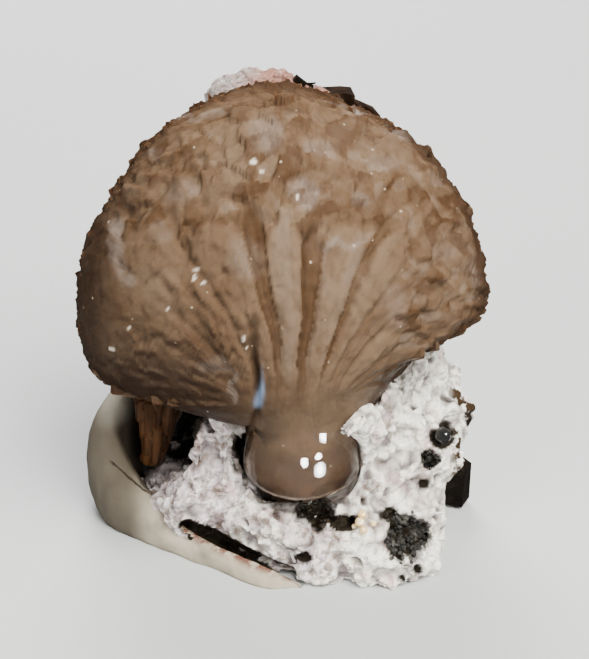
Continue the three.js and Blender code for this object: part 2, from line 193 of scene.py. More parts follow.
def stoneLump(centre, radii, rough, seed, columns=44, rows=30):
    # a ball stretched to its radii, with noise along each ray
    ray = ballGrid(columns, rows)
    reach = 1 + rough * softNoise(ray, 0.5, seed) + 0.5 * rough * softNoise(ray, 0.22, seed + 5)
    return np.array(centre) + ray * np.array(radii) * reach[..., None]


def copiedFaces(faces, count, copies):
    # the same faces for each copy of a form that has this many points
    return [[corner + count * index for corner in face] for index in range(copies) for face in faces]


def lumpsTogether(lumps):
    # lumps of one grid size in one set of points and faces
    points = [closedRows(lump) for lump in lumps]
    faces = copiedFaces(skinFaces(*lumps[0].shape[:2]), len(points[0]), len(lumps))
    return np.concatenate(points), faces


def basisAlong(directions, roll):
    # three unit axes for each direction, the third one along it, rolled about it
    along = unit(directions)
    helper = np.where(np.abs(along[:, 2:3]) > 0.9, [[1.0, 0, 0]], [[0, 0, 1.0]])
    side = unit(np.cross(helper, along))
    up = np.cross(along, side)
    cosine, sine = np.cos(roll)[:, None], np.sin(roll)[:, None]
    return np.stack([side * cosine + up * sine, up * cosine - side * sine, along], 1)


def prismForm(sides, taper, tip):
    # a prism one long whose ring narrows to a taper and then to a point above its shoulder
    ring = stacked(np.cos(turns(sides)), np.sin(turns(sides)), 0) * 0.5
    points = np.concatenate([ring, ring * taper + [0, 0, 1 - tip], [[0.12, 0.05, 1.0]]])
    pairs = [(corner, (corner + 1) % sides) for corner in range(sides)]
    faces = [list(range(sides))[::-1]]
    faces += [[here, after, sides + after, sides + here] for here, after in pairs]
    faces += [[sides + here, sides + after, 2 * sides] for here, after in pairs]
    return points, faces


def chiselForm(taper=0.85, slope=0.22):
    # a flat blade one long: a square foot, a narrower shoulder that slopes, and a ridge
    square = np.array([[-0.5, -0.5], [0.5, -0.5], [0.5, 0.5], [-0.5, 0.5]])
    shoulder = 1 - slope * np.array([[1], [1], [0.7], [0.7]])
    points = np.concatenate([np.hstack([square, 0 * shoulder]), np.hstack([square * taper, shoulder]),
                             [[-0.3 * taper, 0.1, 1.0], [0.35 * taper, 0.1, 0.97]]])
    return points, [[3, 2, 1, 0], [0, 1, 5, 4], [1, 2, 6, 9, 5], [2, 3, 7, 6], [3, 0, 4, 8, 7],
                    [4, 5, 9, 8], [6, 7, 8, 9]]


def crystalField(name, form, places, directions, sizes, roll, values=None):
    # one joined mesh: the form scaled, turned and set at each place
    formPoints, formFaces = form
    scaled = formPoints[None] * sizes[:, None, :]
    points = places[:, None, :] + np.einsum("nki,nij->nkj", scaled, basisAlong(directions, roll))
    faces = copiedFaces(formFaces, len(formPoints), len(places))
    spread = {key: np.repeat(array, len(formPoints)) for key, array in (values or {}).items()}
    return meshPiece(name, points.reshape(-1, 3), faces, spread, flat=True)


def joinPieces(pieces, name):
    bpy.ops.object.select_all(action="DESELECT")
    for piece in pieces:
        piece.select_set(True)
    bpy.context.view_layer.objects.active = pieces[0]
    bpy.ops.object.join()
    joined = bpy.context.view_layer.objects.active
    joined.name = name
    return joined


def applyModifiers(piece):
    bpy.context.view_layer.objects.active = piece
    for modifier in list(piece.modifiers):
        bpy.ops.object.modifier_apply(modifier=modifier.name)


def readRows(rows, key):
    # one vector for each of a mesh's points
    flatList = np.zeros(len(rows) * 3)
    rows.foreach_get(key, flatList)
    return flatList.reshape(-1, 3)


def pointsOf(piece):
    return readRows(piece.data.vertices, "co") / mm


def normalsOf(piece):
    return readRows(piece.data.vertex_normals, "vector")


def setPoints(piece, points):
    piece.data.vertices.foreach_set("co", (points * mm).ravel())
    piece.data.update()


def setValue(piece, key, array):
    attribute = piece.data.attributes.get(key) or piece.data.attributes.new(key, "FLOAT", "POINT")
    attribute.data.foreach_set("value", np.asarray(array, np.float32))


def grownTogether(name, lumps, blockMm):
    # lumps merged into one skin of small blocks
    piece = meshPiece(name, *lumpsTogether(lumps))
    remesh = piece.modifiers.new("grownTogether", "REMESH")
    remesh.mode = "VOXEL"
    remesh.voxel_size = blockMm * mm
    applyModifiers(piece)
    return piece, pointsOf(piece), normalsOf(piece)


def finishPiece(piece, material, slotName, *nodes):
    piece.data.materials.clear()
    piece.data.materials.append(material)
    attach(piece, "root")
    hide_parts(*nodes)
    print("made", piece.name, len(piece.data.polygons), "faces")


# shader writing

class Val:
    # a socket that can be used in sums
    def __init__(self, finish, socket):
        self.finish = finish
        self.socket = socket

    def other(self, output):
        return Val(self.finish, self.socket.node.outputs[output])

    def calc(self, operation, *others):
        return self.finish.add("ShaderNodeMath", {"operation": operation}, dict(enumerate([self, *others])))

    def __add__(self, other):
        return self.calc("ADD", other)

    def __sub__(self, other):
        return self.calc("SUBTRACT", other)

    def __rsub__(self, other):
        return self.finish.add("ShaderNodeMath", {"operation": "SUBTRACT"}, {0: other, 1: self})

    def __mul__(self, other):
        return self.calc("MULTIPLY", other)

    __radd__, __rmul__ = __add__, __mul__

    def clamped(self):
        return self.finish.add("ShaderNodeClamp", {}, {0: self})

    def between(self, low, high):
        # smooth steps from 0 at low to 1 at high
        return self.finish.add("ShaderNodeMapRange", {"interpolation_type": "SMOOTHSTEP"},
                               {"Value": self, "From Min": low, "From Max": high})


class Finish:
    # one material and what it takes to write it
    def __init__(self, name):
        self.material = bpy.data.materials.new(name)
        self.material.use_nodes = True
        self.tree = self.material.node_tree
        self.tree.nodes.clear()
        self.place = self.add("ShaderNodeTexCoord", {}, {}, "Object")

    def add(self, kind, settings, inputs, output=0):
        node = self.tree.nodes.new(kind)
        for key, value in settings.items():
            setattr(node, key, value)
        for key, value in inputs.items():
            socket = node.inputs[key]
            if isinstance(value, Val):
                self.tree.links.new(value.socket, socket)
            else:
                socket.default_value = value
        return Val(self, node.outputs[output]) if len(node.outputs) else None

    def noise(self, sizeMm, detail=3, rough=0.55, where=None):
        return self.add("ShaderNodeTexNoise", {}, {"Vector": where or self.place, "Scale": 1000 / sizeMm,
                                                  "Detail": detail, "Roughness": rough})

    def cellsAt(self, sizeMm):
        return self.add("ShaderNodeTexVoronoi", {}, {"Vector": self.place, "Scale": 1000 / sizeMm})

    def stretched(self, scale, where=None):
        return self.add("ShaderNodeMapping", {}, {"Vector": where or self.place, "Scale": scale})

    def placeParts(self):
        # the x of the place, with its Y and Z as other outputs, in metres
        return self.add("ShaderNodeSeparateXYZ", {}, {0: self.place})

    def value(self, key):
        return self.add("ShaderNodeAttribute", {"attribute_name": key}, {}, "Fac")

    def mix(self, factor, low, high):
        def full(value):
            return value if isinstance(value, Val) else (*value, 1)
        return self.add("ShaderNodeMix", {"data_type": "RGBA"}, {0: factor, 6: full(low), 7: full(high)}, 2)

    def washes(self, base, *layers):
        # colours laid over the base one after another, each by its own mask
        for mask, color in layers:
            base = self.mix(mask, base, color)
        return base

    def facets(self, size, where=None):
        # within each cell a plane tilted by the cell's own random colour, in the length unit of where
        where = where or self.place
        near = self.add("ShaderNodeTexVoronoi", {}, {"Vector": where, "Scale": 1 / size}, "Position")
        away = self.add("ShaderNodeVectorMath", {"operation": "SUBTRACT"}, {0: where, 1: near})
        tilt = self.add("ShaderNodeVectorMath", {"operation": "SUBTRACT"},
                        {0: near.other("Color"), 1: (0.5, 0.5, 0.5)})
        return self.add("ShaderNodeVectorMath", {"operation": "DOT_PRODUCT"}, {0: away, 1: tilt}, "Value")

    def bump(self, height, distanceMm, strength=1.0, after=None):
        inputs = {"Height": height, "Distance": distanceMm * mm, "Strength": strength}
        if after:
            inputs["Normal"] = after
        return self.add("ShaderNodeBump", {}, inputs)

    def chips(self, sizeMm, strength, after=None):
        # facets at their true height, which is already in metres
        return self.bump(self.facets(sizeMm * mm), 1 / mm, strength, after)

    def principled(self, soft=None, volume=None, **inputs):
        # soft is the subsurface weight, its radius for each colour and its scale in millimetres
        names = {key.replace("_", " "): value for key, value in inputs.items()}
        if soft:
            names["Subsurface Weight"], names["Subsurface Radius"], scaleMm = soft
            names["Subsurface Scale"] = scaleMm * mm
        surface = {"Surface": self.add("ShaderNodeBsdfPrincipled", {}, names)}
        self.add("ShaderNodeOutputMaterial", {}, {**surface, "Volume": volume} if volume else surface)
        return self.material


# the brown sheaf

frontLean = math.radians(28)  # the front looks up by this angle
frontUp = np.array([0, math.sin(frontLean), math.cos(frontLean)])
frontOut = np.array([0, -math.cos(frontLean), math.sin(frontLean)])


def onFront(points):
    # places across and up the leaning front
    return stacked(points[..., 0], points @ frontUp)


sheafShape = {
    "crownWidth": 35.8, "crownDepth": 25.0, "crownTop": 38.9, "crownMiddle": 21.0,
    "crownX": -0.7, "crownY": 1.2, "roundness": 1.9,
    "rimMiddle": 17.0, "rimTilt": 3.2, "rimSoft": 0.1, "rimHighSide": math.radians(-18), "rimTuck": 2.2,
    "footX": 1.0, "footY": -4.0, "footZ": 3.6, "stemRadius": 4.3, "stemTop": 6.6, "stemTopRise": 6.4,
    "footEdge": 0.1, "stemEnd": 0.2, "rimEnd": 0.5,
    "columns": 460, "stemRows": 18, "flareRows": 62, "domeRows": 124,
    "fanX": 0.8, "fanHeight": 9.7, "fanHalf": 4.6, "ribReach": 12.6, "crestReach": 23.3,
    "ribDepth": 0.50, "ledgeDepth": 0.30, "grooveDepth": 0.9, "endDepth": 0.34,
    "fineRibs": 30, "threads": 84, "ledges": 17, "endSize": 1.4,
    "blockSize": 0.8, "blockTilt": 0.70, "blockRise": 0.26, "blockLine": 0.44,
    "chipSize": 0.85, "chipTilt": 0.22, "chipRise": 0.08, "chipLine": 0.20,
    "fineTilt": 0.14, "ribLine": 0.16, "crestDrop": 0.5, "dipDepth": 0.5, "creaseDepth": 0.2,
    "dipCentre": (5.6, 5.0, 36.5), "dipRadii": (4.2, 5.0, 3.6), "stemTrim": 0.6, "rootTaper": 1.7,
}
# wide ribs from left to right: angle of the left edge, depth of that edge, how sunk, tone
sheafRibs = [
    (-1.6, 0.2, 0.1, 0.35), (-1.36, 0.2, 0.0, 0.5), (-1.12, 0.25, 0.15, 0.35), (-0.88, 0.3, 0.0, 0.5),
    (-0.60, 0.5, 0.0, 0.65), (-0.30, 0.5, 0.9, 0.15), (-0.18, 0.5, 0.0, 0.9), (0.04, 0.7, 1.1, 0.1),
    (0.18, 0.7, 0.0, 0.85), (0.43, 0.7, 0.8, 0.15), (0.49, 0.6, 0.0, 0.75), (0.65, 0.6, 0.4, 0.4),
    (0.86, 0.5, 0.0, 0.6), (1.08, 0.4, 0.3, 0.4), (1.3, 0.3, 0.0, 0.5), (1.6, 0.2, 0.0, 0.4),
]


def leftness(azimuth):
    # 0 on the rim's high side, 1 on the low side
    return 0.5 - 0.5 * np.cos(azimuth - sheafShape["rimHighSide"])


def smoothSheaf(azimuth, along):
    # stem wall, then a trumpet flare to a tilted elliptic rim, then a superellipse over the crown
    s = sheafShape
    cosine, sine = np.cos(azimuth), np.sin(azimuth)
    left = leftness(azimuth) ** 2
    stemTop = s["stemTop"] + s["stemTopRise"] * leftness(azimuth)
    rimReach = 1 / np.hypot(cosine / (s["crownWidth"] / 2), sine / (s["crownDepth"] / 2))
    rimLevel = s["rimMiddle"] + s["rimTilt"] * np.cos(azimuth - s["rimHighSide"])

    def ring(name, reach, height):
        return stacked(s[name + "X"] + reach * cosine, s[name + "Y"] + reach * sine, height)

    reach = s["stemRadius"] * np.minimum(1, along / s["footEdge"])
    climb = np.maximum(0, (along - s["footEdge"]) / (s["stemEnd"] - s["footEdge"]))
    stem = ring("foot", reach, s["footZ"] + climb * (stemTop - s["footZ"]))

    share = np.clip((along - s["stemEnd"]) / (s["rimEnd"] - s["stemEnd"]), 0, 1)
    spread, rise = share ** (1.55 - 0.6 * left), share ** (0.9 + 0.5 * left)
    mixed = stacked(spread, spread, rise)
    rim = ring("crown", rimReach - s["rimTuck"] * left, rimLevel)
    flare = ring("foot", s["stemRadius"], stemTop) * (1 - mixed) + rim * mixed

    over = np.clip((along - s["rimEnd"]) / (1 - s["rimEnd"]), 0, 1)
    power = 2 / s["roundness"]
    tuck = s["rimTuck"] * left * np.maximum(0, 1 - over / 0.3) ** 2
    domeReach = np.maximum(0, rimReach * np.clip(np.cos(over * np.pi / 2), 0, 1) ** power - tuck)
    dome = ring("crown", domeReach, rimLevel + (s["crownTop"] - rimLevel) * np.sin(over * np.pi / 2) ** power)
    onStem, onFlare = (along <= s["stemEnd"])[..., None], (along < s["rimEnd"])[..., None]
    return np.where(onStem, stem, np.where(onFlare, flare, dome))


def softRimSheaf(azimuth, along):
    # towards the front the rim is rounded by a weighted mean of places a little before and after each one
    s = sheafShape
    window = s["rimSoft"] * smooth(0.1, 0.8, -np.sin(azimuth)) * np.exp(-((along - s["rimEnd"]) / 0.12) ** 2)
    weights = {-1.0: 1, -0.5: 2, 0.0: 3, 0.5: 2, 1.0: 1}
    return sum(weight / 9 * smoothSheaf(azimuth, along + step * window) for step, weight in weights.items())


def cutFocus(points):
    # level with the stem low down, the crown's middle higher up
    s = sheafShape
    height = points[..., 2]
    share = smooth(s["stemTop"], s["stemTop"] + s["stemTopRise"], height)
    foot, crown = stacked(s["footX"], s["footY"], height), (s["crownX"], s["crownY"], s["crownMiddle"])
    return foot + (np.array(crown) - foot) * share[..., None]


def fanPlace(points):
    # hyperbolas from the waist: angle across the fan in radians, and length along it in millimetres
    s = sheafShape
    height = points @ frontUp - s["fanHeight"]
    spot = np.arcsin((points[..., 0] - s["fanX"] + 1j * height) / s["fanHalf"])
    return spot.real, np.sign(height) * s["fanHalf"] * np.sinh(np.abs(spot.imag))


def stemCuts(azimuth, height, first):
    # how far the stem's right side and its root are slimmed at each height, from 0 to 1
    right = smooth(first, 0.95, np.cos(azimuth)) * (1 - smooth(8.5, 14.5, height))
    return right, 1 - smooth(4.0, 8.6, height)


def ribTiles(angle, reach, count, start, length, seed):
    # ribs across the fan, and along each rib a round-topped tile that ends every length from its own start:
    # rib, tile, arch across the rib, share along the tile, share across the rib
    spot = angle / np.pi * count + 0.32 * np.sin(angle * 4.3 + seed)
    rib = np.floor(spot)
    across = spot - rib
    arch = np.sqrt(np.maximum(0, 1 - (2 * across - 1) ** 2))
    level = (reach - start - 0.34 * length * arch) / length - 0.7 * (hash01(rib, seed) - 0.5)
    row = np.floor(level)
    return rib, row, arch, level - row, across


# creases across the fan, each a bent line of places across and up the leaning front
sheafCreases = [
    [(-9.4, 25.5), (-7.9, 21.7), (-7.1, 17.2), (-4.2, 11.3)], [(-5.0, 27.2), (-2.5, 24.2), (-2.2, 22.4)],
    [(-9.8, 19.4), (-7.2, 16.0), (-5.4, 13.4)], [(7.9, 25.9), (11.2, 26.6), (14.2, 25.1)],
    [(-6.4, 32.6), (-2.5, 34.0), (1.4, 32.5), (4.6, 31.6), (8.8, 29.3)],
    [(0.6, 30.3), (0.8, 27.6), (2.6, 24.2)], [(-13.6, 26.6), (-11.8, 23.6)],
]
# paler places on the front, pale faces partly with painted sheen: middle across and up, half width, half
# height, strength
sheafPale = [
    (-1.3, 30.4, 1.3, 1.5, 0.7), (1.6, 25.9, 1.0, 1.1, 0.65), (5.8, 25.4, 0.9, 0.5, 0.6),
    (4.5, 21.9, 1.3, 0.35, 0.6), (-13.2, 22.0, 0.7, 2.2, 0.7), (-12.3, 19.4, 1.0, 0.5, 0.7),
    (-6.6, 32.2, 2.0, 0.35, 0.6), (-10.3, 29.3, 0.5, 0.6, 0.7), (2.6, 29.4, 1.2, 0.8, 0.45),
    (7.4, 28.4, 1.4, 0.5, 0.4), (-8.0, 26.2, 1.4, 0.9, 0.35), (-3.0, 20.8, 1.3, 1.6, 0.35),
    (5.6, 33.2, 2.2, 0.4, 0.7), (9.4, 31.0, 1.5, 0.6, 0.55), (8.6, 17.4, 1.0, 1.8, 0.4),
    (-5.6, 12.6, 1.4, 0.7, 0.35), (14.9, 20.8, 0.5, 1.6, 0.4), (-9.6, 23.2, 0.9, 1.0, 0.3),
    (-4.0, 11.2, 0.35, 1.1, 0.6),
]
# painted glints on small faces: middle across and up, half width, half height
sheafGlints = [
    (-13.75, 14, 0.29, 0.15), (-6.9, 19.5, 0.15, 0.2), (-6.2, 19.2, 0.19, 0.14), (-6.7, 20.2, 0.23, 0.1),
    (-3.15, 14.8, 0.11, 0.23), (-2.85, 14.1, 0.1, 0.11), (-2.35, 28.3, 0.27, 0.23), (-1.7, 27.6, 0.18, 0.14),
    (1, 25.6, 0.1, 0.23), (-12.2, 15.7, 0.14, 0.11), (-9, 17.2, 0.14, 0.1), (14.9, 25.3, 0.11, 0.11),
]


def nearLine(flat, knots):
    # distance of each flat place from a bent line
    nearest = np.full(flat.shape[:-1], 99.0)
    for start, end in zip(np.array(knots[:-1]), np.array(knots[1:])):
        run = end - start
        share = np.clip((flat - start) @ run / (run @ run), 0, 1)
        nearest = np.minimum(nearest, np.linalg.norm(flat - start - share[..., None] * run, axis=-1))
    return nearest


def spotShare(flat, across, up, halfWidth, halfHeight, strength=1.0):
    # its strength inside an ellipse on the leaning front, fading to 0 just outside it
    away = np.hypot((flat[..., 0] - across) / halfWidth, (flat[..., 1] - up) / halfHeight)
    return smooth(1.3, 0.7, away) * strength


def leaning(across, *key):
    # a tilt across the width by a random amount
    return (across - 0.5) * (hash01(*key) - 0.5)


def sheafRelief(azimuth, along, points, facing):
    # depth cut into the smooth shape, painted shade from how deep in a groove each point lies, its place in
    # the fan and its tone
    s = sheafShape
    guard = smooth(0.02, s["footEdge"] * 1.4, along)
    warp = shiftNoise(points, 4.0, (1, 2, 3)) + 0.5 * shiftNoise(points, 1.7, (10, 11, 12))
    angle, reach = fanPlace(points + 0.3 * warp)
    fan = smooth(0.16, 0.46, facing)
    up = smooth(-1, 4, reach)
    uneven = 0.5 + 0.5 * softNoise(points, 3.6, 17)
    right = smooth(1.0, 8.0, points[..., 0])

    # wide ribs with edges at set angles, each ending in a round top
    ribEdges, edgeDepths, ribSunk, ribTones = np.array(sheafRibs).T
    order = np.arange(len(sheafRibs))
    spot = np.interp(angle, ribEdges, order)
    rib = np.floor(spot)
    arch = 1 - (2 * (spot - rib) - 1) ** 2
    chosen = rib.astype(int)
    widen = s["ribReach"] + 3.0 * smooth(0.3, 1.1, -angle) - 4.6 * smooth(0.5, 0.95, angle)
    widen = widen + 3.6 * (hash01(rib, 3) - 0.3) + 1.8 * arch
    low = 1 - smooth(-0.6, 0.6, reach - widen)
    edgeDepth = np.interp(spot, order, edgeDepths)
    sunk = ribSunk[chosen] * smooth(1, 6, reach) * smooth(0, 0.25, arch)
    settled = 1 - 0.65 * smooth(-0.7, -1.0, angle)
    ribs = (1 - arch) ** 2 * edgeDepth * (0.25 + 0.75 * up) + sunk + 0.5 * leaning(spot - rib, rib, 6) * up
    fineRib, fineTile, fineArch, _, fineAcross = ribTiles(angle, reach, s["fineRibs"], 4.0, 5.0, 2)
    calm = (0.25 + 0.75 * smooth(1, 9, reach)) * settled
    fineRibs = 0.07 * (1 - fineArch) ** 1.5 + s["fineTilt"] * leaning(fineAcross, fineRib, fineTile, 6)
    ribs = s["ribDepth"] * ribs + calm * fineRibs

    # above them a mosaic of flat block ends, longer along the growth, with a few ledges and a crest behind
    leanPlace = stacked(angle * 10, reach * 0.45, 0.3 * (points[..., 1] + 0.5 * points[..., 2])) + 0.3 * warp
    block, blockGap, number = tiltedCells(leanPlace, s["blockSize"], 23)
    chip, chipGap, chipNumber = tiltedCells(points + 0.2 * warp, s["chipSize"], 31)
    ledgeRib, ledgeTile, _, ledgeLevel, _ = ribTiles(angle, reach, s["ledges"], 13.0, 4.4, 5)
    ledge = (1 - ledgeLevel) ** 1.3 * smooth(0, 0.3, ledgeLevel)
    ledge = ledge * (0.3 + hash01(ledgeRib, ledgeTile, 3)) * (0.3 + 0.9 * uneven)
    behind = smooth(0, 1.1, reach - s["crestReach"] + 6 * angle ** 2 + 0.5 * warp[..., 1])
    behind = behind * smooth(-0.5, 0.1, angle)
    mosaic = 0.2 + s["ledgeDepth"] * ledge + s["blockRise"] * (number - 0.3) + s["blockTilt"] * block
    mosaic = mosaic + s["crestDrop"] * behind + s["chipTilt"] * chip + s["chipRise"] * chipNumber
    thread, threadTile, threadArch, _, threadAcross = ribTiles(angle, reach, s["threads"], 3.0, 2.6, 4)
    fibre = 0.03 * (1 - threadArch) ** 2 + 0.05 * hash01(thread, threadTile, 7) * uneven
    fibre = fibre + 0.06 * leaning(threadAcross, thread, threadTile, 8)
    fanRelief = ribs * low + mosaic * (1 - 0.7 * low) + calm * fibre

    # crystal ends where the ribs are seen end on
    end, endGap, endNumber = tiltedCells(points + 0.5 * warp, s["endSize"], 21)
    aside = s["endDepth"] * (endNumber + 1.6 * end) * (1.3 - fan)
    aside = aside + 0.3 * (0.4 * chipNumber + chip) * (1.1 - fan)
    aside = aside * (0.4 + 0.6 * smooth(12, 24, points[..., 2]))

    # the parting left of the middle, the dip behind the crest, the stem's slimmer right side and foot
    parting = -0.66 + 0.43 * smooth(0, 12, reach)
    groove = np.exp(-((angle - parting) / (0.035 + 0.05 * smooth(8, -1, reach))) ** 2)
    groove = groove * smooth(-5, 0, reach) * (1 - smooth(3, 9, reach)) * fan
    dip = np.exp(-ovalDistance(points, s["dipCentre"], s["dipRadii"]) ** 2)
    flat = onFront(points) + 0.35 * warp[..., :2]
    nearCrease = np.min([nearLine(flat, knots) for knots in sheafCreases], 0)
    crease = np.exp(-(nearCrease / 0.5) ** 2) * fan * (0.3 + uneven)
    trim, taper = stemCuts(azimuth, points[..., 2], 0.1)
    taper = taper * smooth(0, s["footEdge"], along)
    relief = fanRelief * settled * (0.35 + 0.65 * fan) * (0.15 + 0.85 * smooth(-3, 4, reach))
    relief = relief + aside * (0.2 + 0.8 * smooth(-2, 6, reach))
    relief = relief + s["grooveDepth"] * groove + s["dipDepth"] * dip + s["creaseDepth"] * crease
    relief = relief * guard + s["stemTrim"] * trim + s["rootTaper"] * taper

    # painted shade where each point lies deep, and its tone within its rib, block or crystal end
    blockLines = s["blockLine"] * edgeLine(blockGap, s["blockSize"])
    blockLines = blockLines + s["chipLine"] * edgeLine(chipGap, s["chipSize"])
    ribLines = s["ribLine"] * (1 - arch) ** 3 * edgeDepth * (0.4 + 0.8 * uneven)
    lines = low * settled * ribLines + (1 - low) * blockLines * uneven * (1 + 0.9 * right)
    deep = lines * (0.3 + 0.7 * fan) + 0.10 * (1 - fineArch) ** 3 + 0.08 * (1 - threadArch) ** 3
    deep = deep * calm + 0.15 * edgeLine(endGap, s["endSize"]) * (1 - fan)
    deep = np.clip((deep + 0.7 * groove + 0.3 * behind * fan + 0.3 * crease) * guard, 0, 1)
    ribTone = 0.8 * ribTones[chosen] + 0.12 * hash01(fineRib, fineTile, 13) + 0.08 * hash01(thread, 12)
    ribTone = ribTone * up + 0.55 * (1 - up)
    drift = 0.5 + 0.6 * softNoise(leanPlace, 0.7, 91)
    blockTone = 0.5 + (0.52 * number + 0.3 * drift + 0.3 * chipNumber - 0.56) * (1 + 0.6 * right)
    tone = low * ribTone + (1 - low) * blockTone
    return relief, deep, angle, reach, fan, np.clip(tone * fan + endNumber * (1 - fan), 0, 1)


# places where the flare's underside starts higher: azimuth and its width, along and its width, height
underRises = [(-2.3, 0.42, 0.29, 0.04, 1.3), (-2.75, 0.5, 0.235, 0.045, 1.5), (-0.52, 0.5, 0.38, 0.07, 1.8)]


def underLift(azimuth, along):
    # a bell curve round each place
    return sum(height * np.exp(-((azimuth - turn) / wide) ** 2 - ((along - level) / deep) ** 2)
               for turn, wide, level, deep, height in underRises)


def gridNormals(points):
    # cross product of the steps round each row and up each column
    around = np.roll(points, -1, 1) - np.roll(points, 1, 1)
    return unit(np.cross(around, np.gradient(points, axis=0)))


def makeSheafSkin():
    # the rounded sheaf with its relief cut in along rays from the focus, and the values its colours need
    s = sheafShape
    stretches = [(0, s["footEdge"], 4), (s["footEdge"], s["stemEnd"], s["stemRows"]),
                 (s["stemEnd"], s["rimEnd"], s["flareRows"])]
    along = np.concatenate([np.linspace(start, end, rows)[:-1] for start, end, rows in stretches]
                           + [np.linspace(s["rimEnd"], 1, s["domeRows"])])
    azimuth, level = np.meshgrid(turns(s["columns"]) - np.pi, along)
    points = softRimSheaf(azimuth, level)
    facing = np.abs(gridNormals(points) @ frontOut)
    relief, deep, angle, reach, fan, tone = sheafRelief(azimuth, level, points, facing)
    points = points - unit(points - cutFocus(points)) * relief[..., None]
    points[..., 2] += underLift(azimuth, level)

    # shade under the left side, along the left edge, where the surface turns away, and inside the drop
    flat = onFront(points)
    across, height = flat[..., 0], flat[..., 1]
    under = smooth(-0.35, 0.35, -gridNormals(points)[..., 2]) * smooth(3.0, -7.0, across)
    edge = 0.85 * smooth(-11.0, -16.0, across)
    band = 0.8 * (1 - smooth(0.2, 0.62, facing))
    inDrop = 0.80 * smooth(12.5, 9.5, points[..., 2])
    shade = np.max([under, edge, band, inDrop], 0)

    # painted light on the front: a bent bluish streak of painted reflection beside the parting that thins
    # upward, pale spots that are partly painted sheen, and painted glints
    bend = across + 2.08 - 0.33 * smooth(9.4, 11.4, height)
    streak = np.exp(-(bend / (0.12 + 0.16 * smooth(12.4, 9.8, height))) ** 2) * smooth(9.1, 9.8, height)
    streak = streak * (0.8 * smooth(12.0, 10.6, height) + 0.2 * smooth(13.2, 12.0, height))
    front = (points[..., 1] < 6) * smooth(0.05, 0.3, facing)
    blurred = flat + 0.5 * shiftNoise(points, 1.0, (44, 45))
    pale = np.max([spotShare(blurred, *spot) for spot in sheafPale], 0) * front * (0.3 + tone)
    bright = np.max([spotShare(flat, *spot) for spot in sheafGlints], 0) * front
    values = {"deep": deep, "fan": fan, "tone": tone, "shade": shade, "glint": streak * (points[..., 1] < -4),
              "pale": pale, "bright": bright}
    return skinPiece("sheafSkin", points, values, stacked(angle, reach))


bladeSet = {"count": 520, "seed": 5, "turning": 0.36, "belowTop": 37.5,
            "length": (1.2, 2.0), "width": (0.5, 1.1), "thickness": (0.4, 0.8), "proud": (-0.2, 0.14),
            "rootOffset": (0, 3, 9)}


def makeBlades():
    # crystal ends that stand a little proud of the crown's turning edge, pointing along their growth
    s, b = sheafShape, bladeSet
    rng = np.random.default_rng(b["seed"])
    total = b["count"] * 4
    azimuth = rng.uniform(-np.pi, np.pi, total)
    along = s["rimEnd"] + rng.uniform(-0.02, 0.42, total)
    tip = smoothSheaf(azimuth, along)
    aside = smoothSheaf(azimuth + 0.01, along) - smoothSheaf(azimuth - 0.01, along)
    upward = smoothSheaf(azimuth, along + 0.005) - smoothSheaf(azimuth, along - 0.005)
    facing = np.abs(unit(np.cross(aside, upward)) @ frontOut)
    turning = np.flatnonzero((facing < b["turning"]) & (tip[:, 2] < b["belowTop"]))[:b["count"]]
    tip, facing, azimuth, along = tip[turning], facing[turning], azimuth[turning], along[turning]
    relief = sheafRelief(azimuth, along, tip, facing)[0]
    growth = unit(tip - np.array([s["footX"], s["footY"], s["footZ"]]) - np.array(b["rootOffset"]))
    growth += rng.normal(0, 0.08, growth.shape)
    count = len(tip)
    length = rng.uniform(*b["length"], count)
    place = tip - unit(tip - cutFocus(tip)) * relief[:, None]
    place = place + growth * (rng.uniform(*b["proud"], count) - length)[:, None]
    sizes = stacked(rng.uniform(*b["width"], count), rng.uniform(*b["thickness"], count), length)
    roll = rng.uniform(0, np.pi, count)
    # painted shade on the blades at the crown's turning edge, by random amounts through their shade and depth
    # values, with a random tone
    values = {"deep": rng.uniform(0, 0.3, count), "tone": rng.uniform(0, 1, count),
              "shade": rng.uniform(0.55, 0.9, count)}
    return crystalField("sheafBlades", chiselForm(), place, growth, sizes, roll, values)


